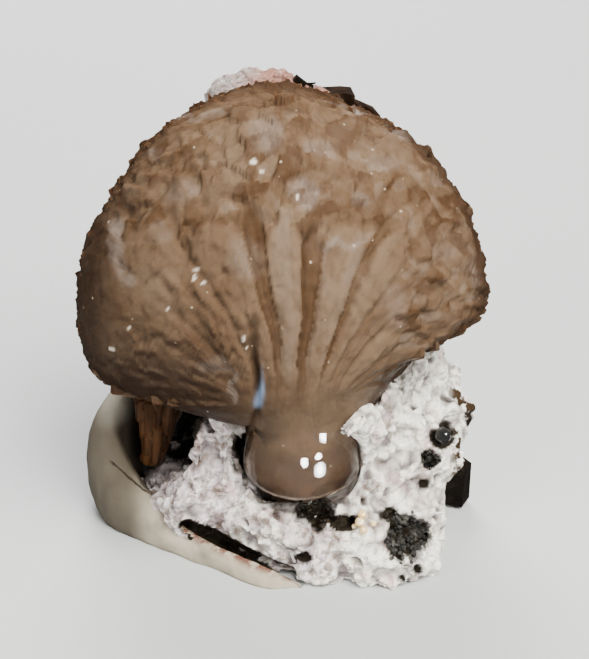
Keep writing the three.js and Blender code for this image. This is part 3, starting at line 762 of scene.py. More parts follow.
def brownFinish():
    # strands along the growth where the surface faces the front, clouds where it turns away, with painted
    # shade, sheen, sparkles, glints and a reflection over them
    f = Finish("brownCrystal")
    fan, tone = f.value("fan"), f.value("tone")
    strandPlace = f.stretched((13, 0.28, 1), f.add("ShaderNodeUVMap", {"uv_map": "growth"}, {}))
    strands = f.noise(500, 4, 0.6, strandPlace)  # half a unit of the stretched growth
    broad = f.noise(6.5, 3, 0.55)
    cloud = f.noise(1.9, 3, 0.6)
    streak = strands * fan + cloud * (1 - fan)
    # painted sparkles: a few small cells, lighter and smoother
    spark = f.cellsAt(1.15)
    chosen = f.add("ShaderNodeSeparateColor", {}, {0: spark.other("Color")}).between(0.61, 0.66)
    spark = (spark + 0.3 * cloud).between(0.26, 0.18) * chosen
    base = f.mix(streak.between(0.34, 0.66), (0.074, 0.041, 0.021), (0.102, 0.063, 0.036))
    base = f.washes(
        base,
        (tone.between(0.1, 0.9), (0.141, 0.092, 0.055)),
        (tone.between(0.34, 0.16) * fan * 0.7, (0.053, 0.027, 0.012)),
        (tone.between(0.66, 0.92) * 0.5, (0.184, 0.133, 0.099)),
        (broad.between(0.46, 0.68) * 0.3, (0.158, 0.111, 0.076)),
        (broad.between(0.50, 0.36) * 0.3, (0.063, 0.035, 0.018)),
        (cloud.between(0.52, 0.68) * 0.32, (0.058, 0.028, 0.014)),
        # painted shade in the grooves, creases, the dip behind the crest and the gaps between blocks
        ((f.value("deep") * 0.8).clamped(), (0.036, 0.016, 0.007)),
        # painted shade under the left side, at the left edge, on turning edges, inside the drop and on the
        # blades
        (f.value("shade") * 0.92, (0.018, 0.008, 0.004)),
        # pale faces, partly painted sheen
        (f.value("pale") * (0.35 + 0.5 * streak.between(0.35, 0.6)), (0.210, 0.168, 0.141)),
        # painted sparkles
        (spark * 0.55, (0.56, 0.45, 0.33)),
        # painted glints
        (f.value("bright") * 0.75, (0.70, 0.60, 0.50)),
        # painted reflection: a bluish streak beside the parting
        (f.value("glint") * 0.95, (0.33, 0.44, 0.62)))
    rough = 0.40 + 0.26 * cloud.between(0.3, 0.7) - 0.25 * spark
    long = f.bump(f.facets(1.0, strandPlace), 0.12, 0.4)
    small = f.chips(0.6, 0.13, f.chips(1.4, 0.22, long))
    grain = f.bump(f.noise(0.35, 2), 0.03, 0.3, small)
    return f.principled((0.12, (1.0, 0.5, 0.25), 1.0), Base_Color=base, Roughness=rough, Normal=grain,
                        Specular_IOR_Level=0.22)


sheafPiece = joinPieces([makeSheafSkin(), makeBlades()], "sheafBody")
finishPiece(sheafPiece, brownFinish(), "poldervaartite", "sheaf")


# the white matrix

# lumps of stone, each by its middle and its radii
rockLumps = {
    "base": [((6.4, -4.6, 1.6), (7.6, 7.0, 5.6)), ((-4.6, 0.6, 0.8), (8.6, 6.6, 4.0)),
             ((1.0, 5.6, 2.0), (12.4, 7.6, 6.4)), ((8.4, -8.4, 1.4), (4.4, 3.8, 3.6))],
    "rightWing": [((10.6, -1.9, 6.2), (4.6, 4.8, 6.4)), ((10.9, 1.6, 10.9), (4.2, 4.4, 4.9)),
                  ((12.7, 2.6, 13.4), (1.5, 1.8, 2.2)), ((14.0, -0.2, 9.0), (1.9, 2.6, 3.0)),
                  ((6.9, -5.0, 10.4), (1.2, 1.3, 3.6)), ((8.5, -4.2, 12.2), (1.3, 1.4, 3.2)),
                  ((6.8, -6.6, 12.2), (1.3, 1.7, 2.0)), ((6.3, -7.9, 13.2), (1.5, 1.5, 1.4)),
                  ((5.1, -8.9, 13.3), (1.3, 1.0, 1.0))],
    "leftWing": [((-5.0, -6.3, 9.6), (0.9, 1.2, 5.0)), ((-6.9, -5.8, 7.9), (1.15, 1.4, 4.8)),
                 ((-5.5, -5.6, 6.8), (1.7, 1.4, 4.0)),
                 ((-6.6, -5.4, 3.4), (4.1, 2.6, 4.0)), ((-9.9, -3.7, 1.8), (2.2, 2.0, 2.7))],
    "frontRidge": [((-1.6, -8.0, 3.0), (4.0, 2.2, 3.2)), ((2.6, -9.4, 1.8), (3.6, 2.2, 2.6)),
                   ((-4.3, -6.8, 0.2), (3.2, 2.0, 1.2)), ((-1.2, -9.2, 0.1), (3.0, 1.7, 1.0)),
                   ((2.7, -10.5, 0.6), (2.0, 1.5, 1.4))],
    "back": [((-9.0, 7.2, 6.0), (5.2, 3.8, 6.4)), ((0.2, 10.4, 11.0), (8.4, 3.9, 9.4)),
             ((-0.9, 11.4, 22.4), (6.6, 3.6, 10.4)), ((-1.0, 8.4, 32.2), (5.0, 2.9, 4.4))],
}
rockShape = {
    "block": 0.225, "rough": 0.16, "swell": 0.6, "swellSize": 3.2, "grit": 0.16, "gritSize": 0.6,
    "knob": 0.46, "knobSize": 1.5, "bead": 0.34, "beadSize": 0.75, "pit": 0.45, "pitSize": 1.9,
    "settled": 0.66,
    "caveCentre": (-9.2, 1.2, 7.8), "caveRadii": (4.4, 4.4, 4.6),
    "flatSide": 13.4, "flatSideRise": 3.2, "dropGap": 0.15,
}
# hollows sunk into the front: middle across and up the leaning front, half width, half height, depth
rockHollows = [
    (2.5, 0.6, 1.6, 1.7, 1.9), (4.8, -0.3, 1.3, 0.8, 1.1), (9.9, -1.6, 1.9, 2.1, 2.0),
    (8.6, 0.3, 1.0, 0.6, 0.9), (1.5, -3.1, 0.9, 0.4, 0.8), (13.0, 6.6, 1.2, 1.1, 0.7),
    (12.1, 4.7, 0.9, 0.9, 0.9), (9.6, -4.8, 0.6, 0.4, 0.6), (10.9, -4.1, 0.5, 0.6, 0.7),
    (15.6, 7.9, 0.5, 0.9, 0.4), (11.6, 2.6, 0.6, 0.5, 0.5), (-3.5, 6.2, 1.0, 2.9, 2.4),
]
rockCleft = {"line": [(-8.2, -0.9), (-5.2, -2.1), (-1.8, -3.8), (0.3, -4.5)], "half": 0.62, "depth": 1.6}
beadShape = {"centre": (1.4, -5.7, 8.2), "radii": (4.8, 4.9, 3.9), "upward": 6.2, "downward": 2.0,
             "rows": 130, "columns": 180, "meniscus": 0.3, "layer": 0.10,
             "lowest": 0.09, "climb": 0.33, "crowding": 1.3}


def hollowShare(points, hollow):
    # 1 in the middle of a hollow's outline and 0 outside it, with a ragged edge
    across, up, halfWidth, halfHeight, _ = hollow
    away = ovalDistance(onFront(points), (across, up), (halfWidth, halfHeight))
    return np.clip(1 - away ** 2 - 0.55 * softNoise(points, 0.9, across), 0, 1)


def cleftShare(points):
    # 1 on the bent line of the cleft above the rind, 0 a half width away; and which points lie below it
    flat = onFront(points)
    knots = np.array(rockCleft["line"])
    nearest = nearLine(flat, knots)
    below = flat[:, 1] < np.interp(flat[:, 0], knots[:, 0], knots[:, 1], left=-99, right=-99)
    return 1 - (nearest / rockCleft["half"]) ** 2 + 0.25 * softNoise(points, 1.0, 29), below


def roundKnobs(points, size, width, seed):
    # a knob of random height in each cell, falling with the square of the distance from its middle
    near, _, number, _ = cells(points, size, seed)
    return (1 - np.clip(near / width, 0, 1) ** 2) * (0.3 + number)


def pushedOut(points, centre, radii):
    # points inside an ellipsoid move along their own rays to its skin
    away = (points - centre) / radii
    distance = np.linalg.norm(away, axis=-1, keepdims=True)
    return centre + away / np.maximum(distance, 1e-6) * np.maximum(distance, 1) * radii


def clearOfDrop(points):
    # points above the drop's foot move out of its egg; those now on its skin or seen through it get painted
    # shade
    b = beadShape
    middle = np.array(b["centre"])
    rises = np.where(points[:, 2] > middle[2], b["upward"], b["radii"][2])
    radii = stacked(b["radii"][0], b["radii"][1], rises)
    aboveFoot = (points @ frontUp > 1.3)[:, None]
    points = np.where(aboveFoot, pushedOut(points, middle, radii + rockShape["dropGap"]), points)
    away = ovalDistance(points, middle, radii)
    seenThrough = ovalDistance(onFront(points), (1.25, 4.6), (4.6, 3.2))
    behind = smooth(1.5, 1.3, away) * smooth(1.0, 0.92, seenThrough) * (points[:, 1] > -8.5)
    return points, np.maximum(0.8 * (1 - smooth(1.01, 1.07, away)), behind)


def makeRock():
    # stone lumps grown together in small blocks, knobbed all over, then hollowed where other pieces sit
    r = rockShape
    lumps = []
    for centre, radii in sum(rockLumps.values(), []):
        lump = stoneLump(centre, radii, r["rough"], sum(centre) + 20)
        lump[..., 2] = np.maximum(lump[..., 2], 0)
        lumps.append(lump)
    rock, points, normals = grownTogether("rockBody", lumps, r["block"])
    warp = shiftNoise(points, 1.3, (71, 72, 73))
    swell = layeredNoise(points, r["swellSize"], 4, 61)
    knobs = roundKnobs(points + 0.3 * normals + 0.4 * warp, r["knobSize"], 1.2, 41)
    beads = roundKnobs(points + 0.2 * warp, r["beadSize"], 0.55, 51)
    near, _, number, _ = cells(points + 0.3 * warp, r["pitSize"], 81)
    pits = smooth(0.55, 0.15, near) * (number > 0.45)
    grit = r["grit"] * layeredNoise(points, r["gritSize"], 2, 71)
    height = r["knob"] * knobs + r["bead"] * beads + r["swell"] * swell + grit - r["pit"] * pits
    height = height - r["settled"]
    points = points + normals * height[:, None]

    # hollows and the cleft sink along the view from the front, and are dark: painted shade, in the hollows
    # also standing for dark mineral
    front = smooth(-0.2, 0.3, normals @ frontOut) * (points[:, 1] < 2)
    # darker in some of the pits
    dark = [0.75 * pits * smooth(0.2, -0.5, softNoise(points, 5.0, 88))]
    for hollow in rockHollows:
        share = hollowShare(points, hollow) * front
        points = points - frontOut * (hollow[4] * np.sqrt(share))[:, None]
        dark.append(smooth(0.1, 0.3, share))
    cleft, below = cleftShare(points)
    points = points - frontOut * (rockCleft["depth"] * np.sqrt(np.clip(cleft, 0, 1) * front))[:, None]
    # painted shade in the cleft and on the rock below it
    dark += [smooth(-0.35, 0.05, cleft) * front, below & (points[:, 1] < 0)]

    # painted shade too: the cave of the small bundle, and the deep left side above the rind
    cave = ovalDistance(points, r["caveCentre"], r["caveRadii"]) + 0.12 * softNoise(points, 1.1, 77)
    up = points @ frontUp + 0.4 * softNoise(points, 1.2, 79)
    paintedShadeLeft = smooth(4.0, 4.4, up) * smooth(-8.2, -8.6, points[:, 0] - 0.45 * (up - 4.2))
    dark += [1 - smooth(0.8, 1.0, cave), paintedShadeLeft * (points[:, 0] > -13.5) * (points[:, 1] < 4)]
    points, paintedShadeByDrop = clearOfDrop(points)
    side = r["flatSide"] + r["flatSideRise"] * smooth(5.5, 8.0, points[:, 2])
    points[:, 0] = np.where(points[:, 0] > side, side + 0.25 * (points[:, 0] - side), points[:, 0])
    points[:, 2] = np.maximum(points[:, 2], 0)
    setPoints(rock, points)
    setValue(rock, "dark", np.max(dark + [paintedShadeByDrop], 0))
    # painted shade: 1 where a point lies low among the knobs and beads or in a pit
    setValue(rock, "sunk", np.clip(1.02 - r["knob"] / 0.55 * knobs - 0.9 * beads - 0.3 * swell + pits, 0, 1))
    return rock


def whiteFinish():
    # white and mauve patches, mauver to the left, sugary grains, brown stains, painted shade grey between the
    # knobs and near black in the hollows and cleft
    f = Finish("sugaryWhite")
    patch = f.noise(4.2, 4, 0.6) - f.placeParts() * 14
    moved = f.add("ShaderNodeMapping", {}, {"Vector": f.place, "Location": (0.03, 0.01, 0.02)})
    blush = f.noise(2.6, 3, 0.55, moved)
    fine = f.noise(0.5, 3, 0.6)
    stain = f.noise(1.0, 4, 0.7, moved).between(0.50, 0.60) * patch.between(0.34, 0.54)
    edge = f.placeParts().between(0.0132, 0.0144)
    base = f.mix(patch.between(0.42, 0.66), (0.96, 0.93, 0.84), (0.70, 0.63, 0.64))
    base = f.washes(
        base,
        (blush.between(0.53, 0.65) * 0.6, (0.60, 0.38, 0.36)),
        (fine.between(0.5, 0.75) * 0.6, (0.97, 0.94, 0.80)),
        # painted shade: grey between the knobs
        (f.value("sunk") * 0.92, (0.125, 0.098, 0.100)),
        (stain * 0.72, (0.200, 0.140, 0.100)),
        (f.cellsAt(0.8).between(0.16, 0.10) * 0.25, (0.36, 0.25, 0.14)),
        (edge * f.noise(1.7, 3, 0.6, moved).between(0.52, 0.58), (0.040, 0.024, 0.012)),
        # near black: painted shade in the cleft, cave, deep left side and round the drop, and in the hollows,
        # where it also stands for dark mineral; darker in some pits too
        (f.value("dark"), (0.014, 0.011, 0.007)))
    grain = f.bump(f.noise(0.22, 3, 0.7), 0.05, 0.8, f.chips(0.42, 0.9))
    return f.principled((0.08, (1.0, 0.9, 0.85), 0.5), Base_Color=base, Roughness=0.5 + 0.3 * fine, IOR=1.5,
                        Normal=grain)


rockPiece = makeRock()
rockPoints, rockNormals = pointsOf(rockPiece), normalsOf(rockPiece)
finishPiece(rockPiece, whiteFinish(), "white_matrix", "matrix")


# the cream rind

rindShape = {
    "crest": [(-11.2, 7.6, 9.4), (-14.6, 4.6, 10.4), (-15.7, 0.6, 9.2), (-14.4, -2.4, 6.4),
              (-11.6, -4.6, 3.6), (-8.0, -6.9, 2.0), (-4.6, -9.3, 1.6), (-1.4, -11.2, 1.3),
              (1.4, -11.9, 0.7)],
    "stations": 190, "sides": 44, "wallHalf": 0.72, "thicken": 0.75, "sunkFoot": 1.6,
}


def curveThrough(knots, share):
    # Catmull-Rom spline through the knots, and its direction, at shares of its length in knots
    knots = np.array(knots, float)
    padded = np.concatenate([[2 * knots[0] - knots[1]], knots, [2 * knots[-1] - knots[-2]]])
    spot = np.clip(share * (len(knots) - 1), 0, len(knots) - 1 - 1e-9)
    index = np.floor(spot).astype(int)
    t = (spot - index)[:, None]
    a, b, c, d = (padded[index + k] for k in range(4))
    square, cube = 2 * a - 5 * b + 4 * c - d, 3 * b - a - 3 * c + d
    place = 0.5 * (2 * b + (c - a) * t + square * t ** 2 + cube * t ** 3)
    heading = 0.5 * (c - a + 2 * square * t + 3 * cube * t ** 2)
    return place, heading


def makeRind():
    # an upright oval section carried along the crest line, bulging outward at mid height
    r = rindShape
    along = np.linspace(0, 1, r["stations"])
    place, heading = curveThrough(r["crest"], along)
    outward = unit(stacked(-heading[:, 1], heading[:, 0], 0))[:, None]
    cosine, sine = np.cos(turns(r["sides"])), np.sin(turns(r["sides"]))
    share, crest = along[:, None], place[:, 2:3]
    closing = np.minimum(1, np.sin(np.pi * share) * 3.2)
    halfHeight = (crest + r["sunkFoot"]) / 2
    thick = (r["thicken"] + 0.55 * (1 - smooth(0.16, 0.32, share))) * smooth(0.02, 0.14, share)
    thick = thick * (1 - smooth(0.42, 0.62, share))
    reach = (cosine * (r["wallHalf"] + thick) - thick) * closing + 0.09 * crest * np.cos(np.pi / 2 * sine)
    rise = halfHeight * np.sign(sine) * np.abs(sine) ** 0.8 * (0.6 + 0.4 * closing)
    grid = place[:, None] - outward * reach[..., None]
    grid[..., 2] = crest - halfHeight + rise
    wobble = 0.16 * layeredNoise(grid, 2.6, 3, 81) * np.sign(cosine)
    # the inner face, darkened in the finish: partly a dark crust, partly painted shade
    inside = smooth(-0.15, 0.25, 0.25 * softNoise(grid, 0.8, 9) - cosine)
    grid = grid - outward * wobble[..., None]
    grid[..., 2] = np.maximum(grid[..., 2], 0)
    inside = inside * (1 - smooth(0.5, 0.62, share)) * smooth(0.02, 0.1, share)
    stain = smooth(0.0, 0.7, 0.7 * sine - 0.5 * cosine) * smooth(0.52, 0.62, share)
    return skinPiece("rindWall", grid, {"inside": inside, "stain": stain}, turned=True)


def creamFinish():
    # cream with brown specks, a dark inside that is partly a dark crust and partly painted shade, painted
    # shade on the left part of the wall, a painted highlight along the top, a rusty stain low in front, and
    # one crack down the left side
    f = Finish("creamRind")
    broad = f.noise(5, 3, 0.55)
    fine = f.noise(0.9, 4, 0.65)
    spot = f.placeParts()
    up = math.sin(frontLean) / mm * spot.other("Y") + math.cos(frontLean) / mm * spot.other("Z")
    wander = f.noise(1.6, 3, 0.6) * 0.9 - 0.45
    apart = (up + 0.806 / mm * spot + 7.7 + wander).calc("ABSOLUTE")
    crack = apart.between(0.16, 0.03) * spot.between(-0.0113, -0.0117) * spot.between(-0.0151, -0.0146)
    base = f.mix(broad.between(0.4, 0.65), (0.42, 0.365, 0.275), (0.22, 0.190, 0.142))
    base = f.washes(
        base,
        (fine.between(0.52, 0.72) * 0.4, (0.50, 0.46, 0.37)),
        (f.noise(2.2, 4, 0.7).between(0.60, 0.72) * 0.5, (0.16, 0.09, 0.055)),
        # dark inner face: partly a dark crust, partly painted shade
        (f.value("inside"), (0.030, 0.022, 0.016)),
        (f.value("stain") * fine.between(0.40, 0.56) * 0.9, (0.120, 0.040, 0.024)),
        # painted shade: darker towards the left part of the wall
        (spot.between(-0.0105, -0.0135) * 0.88, (0.058, 0.047, 0.033)),
        # painted highlight along the top of the wall
        (spot.other("Z").between(0.0076, 0.0096) * 0.4, (0.58, 0.53, 0.43)),
        (crack * 0.9, (0.020, 0.013, 0.009)))
    cut = f.bump(1 - crack, 0.10, 0.6, f.bump(fine, 0.10, 0.5))
    grain = f.bump(f.noise(0.25, 2), 0.03, 0.5, cut)
    rough = 0.42 + 0.25 * fine
    return f.principled((0.1, (1.0, 0.8, 0.6), 0.8), Base_Color=base, Roughness=rough, Normal=grain)


finishPiece(makeRind(), creamFinish(), "cream_rind", "rind")


# the clear drop round the stem

def makeDrop():
    # the larger of a thin layer's radius and an egg's radius, blended by the log of summed powers
    b, s = beadShape, sheafShape
    rise = b["lowest"] + b["climb"] * np.linspace(0, 1, b["rows"]) ** b["crowding"]
    azimuth, along = np.meshgrid(turns(b["columns"]) - np.pi, rise)
    stem = smoothSheaf(azimuth, along)
    axis = np.array([s["footX"], s["footY"]])
    height = stem[..., 2]
    stemReach = np.linalg.norm(stem[..., :2] - axis, axis=-1)
    heading = (stem[..., :2] - axis) / stemReach[..., None]
    right, taper = stemCuts(azimuth, height, 0.2)
    layer = b["layer"] - smooth(4.2, 7.0, stem @ frontUp)
    layer = layer - 0.7 * s["stemTrim"] * right - 0.8 * s["rootTaper"] * taper

    # the egg's radius along each heading at this height: the larger root of a quadratic
    lift = height - b["centre"][2]
    squeeze = np.sqrt(np.maximum(1e-4, 1 - (lift / np.where(lift > 0, b["upward"], b["downward"])) ** 2))
    wide = np.array(b["radii"][:2])
    start = (axis - np.array(b["centre"][:2])) / wide
    step = heading / wide
    a, half, c = (step ** 2).sum(-1), step @ start, start @ start - squeeze ** 2
    root = np.sqrt(np.maximum(half ** 2 - a * c, 0))
    eggReach = np.where(half ** 2 > a * c, (root - half) / a, -9)
    power = 1 / b["meniscus"]
    film = np.minimum(stemReach, s["stemRadius"]) + layer
    larger, smaller = np.maximum(film, eggReach), np.minimum(film, eggReach)
    reach = larger + np.log1p(np.exp(np.maximum((smaller - larger) * power, -30))) / power
    grid = stem.copy()
    grid[..., :2] = axis + heading * reach[..., None]
    grid[-1] = grid[-1].mean(0) - np.array([0, 0, 1.0])
    grid[0] = grid[0].mean(0)
    return skinPiece("clearDrop", grid)


def clearFinish():
    # clear, and slightly yellower the deeper the light goes
    f = Finish("clearDrop")
    absorb = f.add("ShaderNodeVolumeAbsorption", {}, {"Color": (0.84, 0.70, 0.52, 1), "Density": 30.0})
    return f.principled(volume=absorb, Base_Color=(0.97, 0.95, 0.92, 1), Roughness=0.015, IOR=1.45,
                        Specular_IOR_Level=0.5, Transmission_Weight=1.0)


finishPiece(makeDrop(), clearFinish(), "clear_drop", "clear_bead")


# the small brown bundle in the hollow

bundleShape = {"foot": (-11.5, -0.6, 4.6), "top": (-10.3, 0.2, 12.0), "footRadius": 0.8, "topRadius": 2.5,
               "rows": 90, "columns": 120, "ribs": 10, "blocks": 4, "waveUp": 5, "waveRound": 12.566}


def makeBundle():
    # a ribbed bunch that widens from its foot, its ribs bent by a sine and broken into uneven blocks
    b = bundleShape
    foot, top = np.array(b["foot"]), np.array(b["top"])
    turn, rise = np.meshgrid(np.arange(b["columns"]) / b["columns"], np.linspace(0, 1, b["rows"]))
    spot = turn * b["ribs"] + 0.25 * np.sin(rise * b["waveUp"] + turn * b["waveRound"])
    rib = np.floor(spot) % b["ribs"]
    arch = np.sqrt(np.maximum(0, 1 - (2 * (spot - np.floor(spot)) - 1) ** 2))
    block = np.floor(rise * b["blocks"] + hash01(rib, 1) + 0.3 * arch)
    radius = b["footRadius"] + (b["topRadius"] - b["footRadius"]) * rise ** 0.8
    radius = radius * (0.80 + 0.16 * arch + 0.22 * (hash01(rib, block, 2) - 0.5))
    radius = radius * np.minimum(1, rise * 14) * np.sqrt(np.clip((1 - rise) * 12, 0, 1))
    angle = turn * 2 * np.pi
    grid = foot + (top - foot) * rise[..., None] + stacked(radius * np.cos(angle), radius * np.sin(angle), 0)
    return skinPiece("smallSheaf", grid, {"shade": hash01(rib, block, 4)})


def orangeFinish():
    # dark streaks up the bundle and a few warmer blocks
    f = Finish("orangeCrystal")
    streak = f.noise(0.4, 3, 0.6, f.stretched((1, 1, 0.12)))
    base = f.mix(streak.between(0.35, 0.65), (0.020, 0.008, 0.003), (0.062, 0.027, 0.011))
    base = f.mix(f.value("shade").between(0.55, 0.95) * 0.6, base, (0.085, 0.036, 0.012))
    return f.principled((0.2, (1.0, 0.4, 0.15), 0.8), Base_Color=base, Roughness=0.3 + 0.2 * streak,
                        Specular_IOR_Level=0.3, Normal=f.bump(streak, 0.06, 0.5))


finishPiece(makeBundle(), orangeFinish(), "orange_poldervaartite", "small_sheaf")


# black crystals

def blackFinish(name, tint, shine):
    # the tint with patches about three times as bright
    f = Finish(name)
    tone = f.noise(0.9, 3, 0.6)
    base = f.mix(tone.between(0.45, 0.7), tint, [3.2 * part for part in tint])
    return f.principled(Base_Color=base, Roughness=shine + 0.22 * f.noise(0.5, 2), IOR=2.2, Metallic=0.25,
                        Normal=f.bump(tone, 0.04, 0.5))


blackCrystal = blackFinish("blackCrystal", (0.010, 0.010, 0.009), 0.06)
oliveCrystal = blackFinish("oliveCrystal", (0.010, 0.008, 0.004), 0.16)
greyCrystal = blackFinish("greyCrystal", (0.034, 0.033, 0.029), 0.20)


def crystalsOnRock(name, share, count, size, seed):
    # short crystals standing on the rock's points where the share is high, spread by a seeded choice
    rng = np.random.default_rng(seed)
    chosen = rng.choice(np.flatnonzero(share > 0.12), count)
    direction = rockNormals[chosen] + frontOut * 0.5 + rng.normal(0, 0.5, (count, 3))
    ranges = [(0.6, 1.2), (0.6, 1.1), (0.9, 1.6)]
    sizes = size * stacked(*[rng.uniform(low, high, count) for low, high in ranges])
    place = rockPoints[chosen] - unit(direction) * sizes[:, 2:] * 0.45
    return crystalField(name, prismForm(4, 0.8, 0.22), place, direction, sizes, rng.uniform(0, np.pi, count))


frontFacing = (rockNormals @ frontOut > -0.3) & (rockPoints[:, 1] < 4) & (rockPoints[:, 2] > 1.0)
inCave = np.clip(1 - ovalDistance(rockPoints, (-9.0, 1.8, 8.0), (4.0, 4.0, 4.8)), 0, 1)
# name, node, share of each rock point, number of crystals, their size, seed, material
blackPatches = [
    ("blackPocket", "black_pocket", hollowShare(rockPoints, rockHollows[2]), 190, 0.5, 101, greyCrystal),
    ("blackPit", "black_pit", hollowShare(rockPoints, rockHollows[0]), 90, 0.6, 102, oliveCrystal),
    ("hollowCrust", "hollow_crust", inCave, 260, 0.8, 103, blackCrystal),
    ("blackLow", "black_crystal_low", hollowShare(rockPoints, rockHollows[6]), 30, 0.6, 104, blackCrystal),
]
for name, node, share, count, size, seed, material in blackPatches:
    finishPiece(crystalsOnRock(name, share * frontFacing, count, size, seed), material, "black_crystal", node)


def crystalGroup(name, rows, form, bevelMm):
    # a few large crystals, each by its middle, its direction, its width, thickness and length, and its roll
    place, direction, sizes, roll = (np.array(column, float) for column in zip(*rows))
    piece = crystalField(name, form, place - unit(direction) * sizes[:, 2:] / 2, direction, sizes, roll)
    bevel = piece.modifiers.new("edgeWear", "BEVEL")
    bevel.width = bevelMm * mm
    bevel.segments = 2
    applyModifiers(piece)
    return piece


blackRight = crystalGroup("blackRight", [
    ((13.0, -3.9, 9.7), (0.15, -0.85, 0.5), (1.9, 1.8, 2.4), 0.3),
    ((12.2, -3.8, 9.0), (-0.3, -0.8, 0.3), (1.3, 1.2, 2.2), 1.1),
    ((13.6, -3.4, 9.0), (0.5, -0.7, 0.1), (1.1, 1.0, 1.8), 0.7)], prismForm(6, 0.75, 0.2), 0.05)
finishPiece(blackRight, blackCrystal, "black_crystal", "black_crystal_right")


# brown flat-faced blocks, the spur, the crust and the golden beads

def blockFinish(name, dimmed):
    # brown with fine lines along the blocks, dimmed towards black
    f = Finish(name)
    tone = f.noise(1.6, 3, 0.6)
    line = f.noise(0.5, 3, 0.6, f.stretched((1, 1, 0.2)))
    base = f.mix(tone.between(0.4, 0.68), (0.012, 0.006, 0.003), (0.034, 0.018, 0.010))
    base = f.mix(line.between(0.58, 0.72) * 0.5, base, (0.085, 0.052, 0.032))
    base = f.mix(dimmed, base, (0.005, 0.004, 0.003))
    return f.principled(Base_Color=base, Roughness=0.35 + 0.25 * tone, Specular_IOR_Level=0.3,
                        Normal=f.chips(1.1, 0.5, f.bump(line, 0.05, 0.5)))


topBlock = crystalGroup("topBlock", [
    ((4.3, 7.0, 33.9), (0.04, 0.2, 1), (4.6, 2.6, 4.4), 0.05),
    ((5.9, 6.9, 33.1), (0.50, 0.1, 1), (2.2, 2.4, 3.8), 0.10),
    ((3.0, 6.4, 33.8), (0.0, 0.1, 1), (2.0, 1.8, 4.2), 0.0)], chiselForm(0.94, 0.06), 0.06)
finishPiece(topBlock, blockFinish("darkBrownCrystal", 0.45), "dark_brown_crystal", "top_block")
rightBlock = crystalGroup("rightBlock", [
    ((14.9, 0.6, 2.6), (0.05, -0.1, 1), (3.1, 2.8, 4.4), 0.4),
    ((13.4, 0.4, 2.3), (0.3, -0.3, 0.9), (2.0, 1.9, 2.8), 0.9),
    ((14.2, 2.2, 2.1), (0.1, 0.1, 1), (1.4, 1.4, 3.4), 0.1)], prismForm(5, 0.86, 0.12), 0.06)
finishPiece(rightBlock, blockFinish("nearBlackCrystal", 0.85), "dark_brown_crystal", "right_block")
topSpur = crystalGroup("topSpur", [
    ((1.25, 5.8, 37.1), (0.62, 0.1, -0.5), (0.6, 0.7, 1.3), 0.1),
    ((1.7, 5.9, 36.7), (0.9, 0.1, -0.3), (0.6, 0.6, 1.3), 0.5),
    ((2.1, 5.7, 37.1), (0.95, 0.0, 0.12), (0.14, 0.14, 0.9), 0.2)], chiselForm(0.9, 0.08), 0.02)
finishPiece(topSpur, blockFinish("spurCrystal", 0.9), "black_crystal", "top_spur")

crustShape = {
    "lumps": [((-4.0, 5.7, 35.5), (2.6, 2.2, 2.5)), ((-2.5, 5.9, 35.7), (2.5, 2.3, 2.6)),
              ((-0.9, 6.0, 35.8), (2.4, 2.3, 2.5)), ((1.2, 6.2, 35.0), (2.1, 2.0, 2.1)),
              ((2.5, 6.0, 35.2), (1.5, 1.5, 1.7))],
    "rough": 0.08, "block": 0.13, "endSize": 0.5, "settled": 0.25,
}


def makeCrust():
    # lumps joined in small blocks and broken into flat crystal ends that are longer upward
    c = crustShape
    lumps = [stoneLump(*lump, c["rough"], 7 + index) for index, lump in enumerate(c["lumps"])]
    crust, points, normals = grownTogether("topCrust", lumps, c["block"])
    end, gap, number = tiltedCells(points * [1, 1, 0.6], c["endSize"], 111)
    height = 0.22 * number + 0.3 * end - 0.08 * np.exp(-gap / 0.06) - c["settled"]
    setPoints(crust, points + normals * height[:, None])
    setValue(crust, "sunk", np.exp(-gap / 0.08))
    crust.data.polygons.foreach_set("use_smooth", np.full(len(crust.data.polygons), False))
    return crust


def crustFinish():
    # greyer to the left, pinker to the right, with thin upright streaks and pale patches
    f = Finish("pinkCrust")
    patch = f.noise(2.4, 4, 0.6)
    pinkness = (f.placeParts() * 220 + patch * 1.6).between(-0.3, 0.6)
    thin = f.noise(0.5, 3, 0.6, f.stretched((1, 1, 0.25)))
    base = f.washes(
        f.mix(pinkness, (0.31, 0.28, 0.265), (0.30, 0.155, 0.120)),
        (thin.between(0.55, 0.64) * 0.7, (0.11, 0.085, 0.075)),
        (f.noise(0.8, 3).between(0.55, 0.7) * 0.6, (0.66, 0.61, 0.57)),
        (f.value("sunk") * 0.5, (0.20, 0.125, 0.10)))
    return f.principled((0.15, (1.0, 0.7, 0.6), 0.8), Base_Color=base, Roughness=0.3 + 0.3 * patch, IOR=1.55,
                        Normal=f.bump(f.cellsAt(0.3), 0.05, 0.5))


finishPiece(makeCrust(), crustFinish(), "pink_crust", "top_crust")


def onRockFront(across, up):
    # the foremost point of the rock near a place across and up its leaning front
    near = np.flatnonzero(np.linalg.norm(onFront(rockPoints) - (across, up), axis=-1) < 0.45)
    return rockPoints[near[np.argmax(rockPoints[near] @ frontOut)]]


# golden beads: place across and up the leaning front, radius
goldenSet = [(6.0, 0.15, 0.42), (6.7, 0.3, 0.38), (6.4, -0.3, 0.34), (5.6, -0.2, 0.26), (7.1, -0.1, 0.26)]


def makeGoldenBeads():
    # nearly round lumps whose middles stand half a radius out of the rock
    lumps = []
    for across, up, size in goldenSet:
        middle = onRockFront(across, up) + 0.5 * size * frontOut
        lumps.append(stoneLump(middle, (size, size, size), 0.05, size * 50, 28, 20))
    return meshPiece("goldenBeads", *lumpsTogether(lumps))


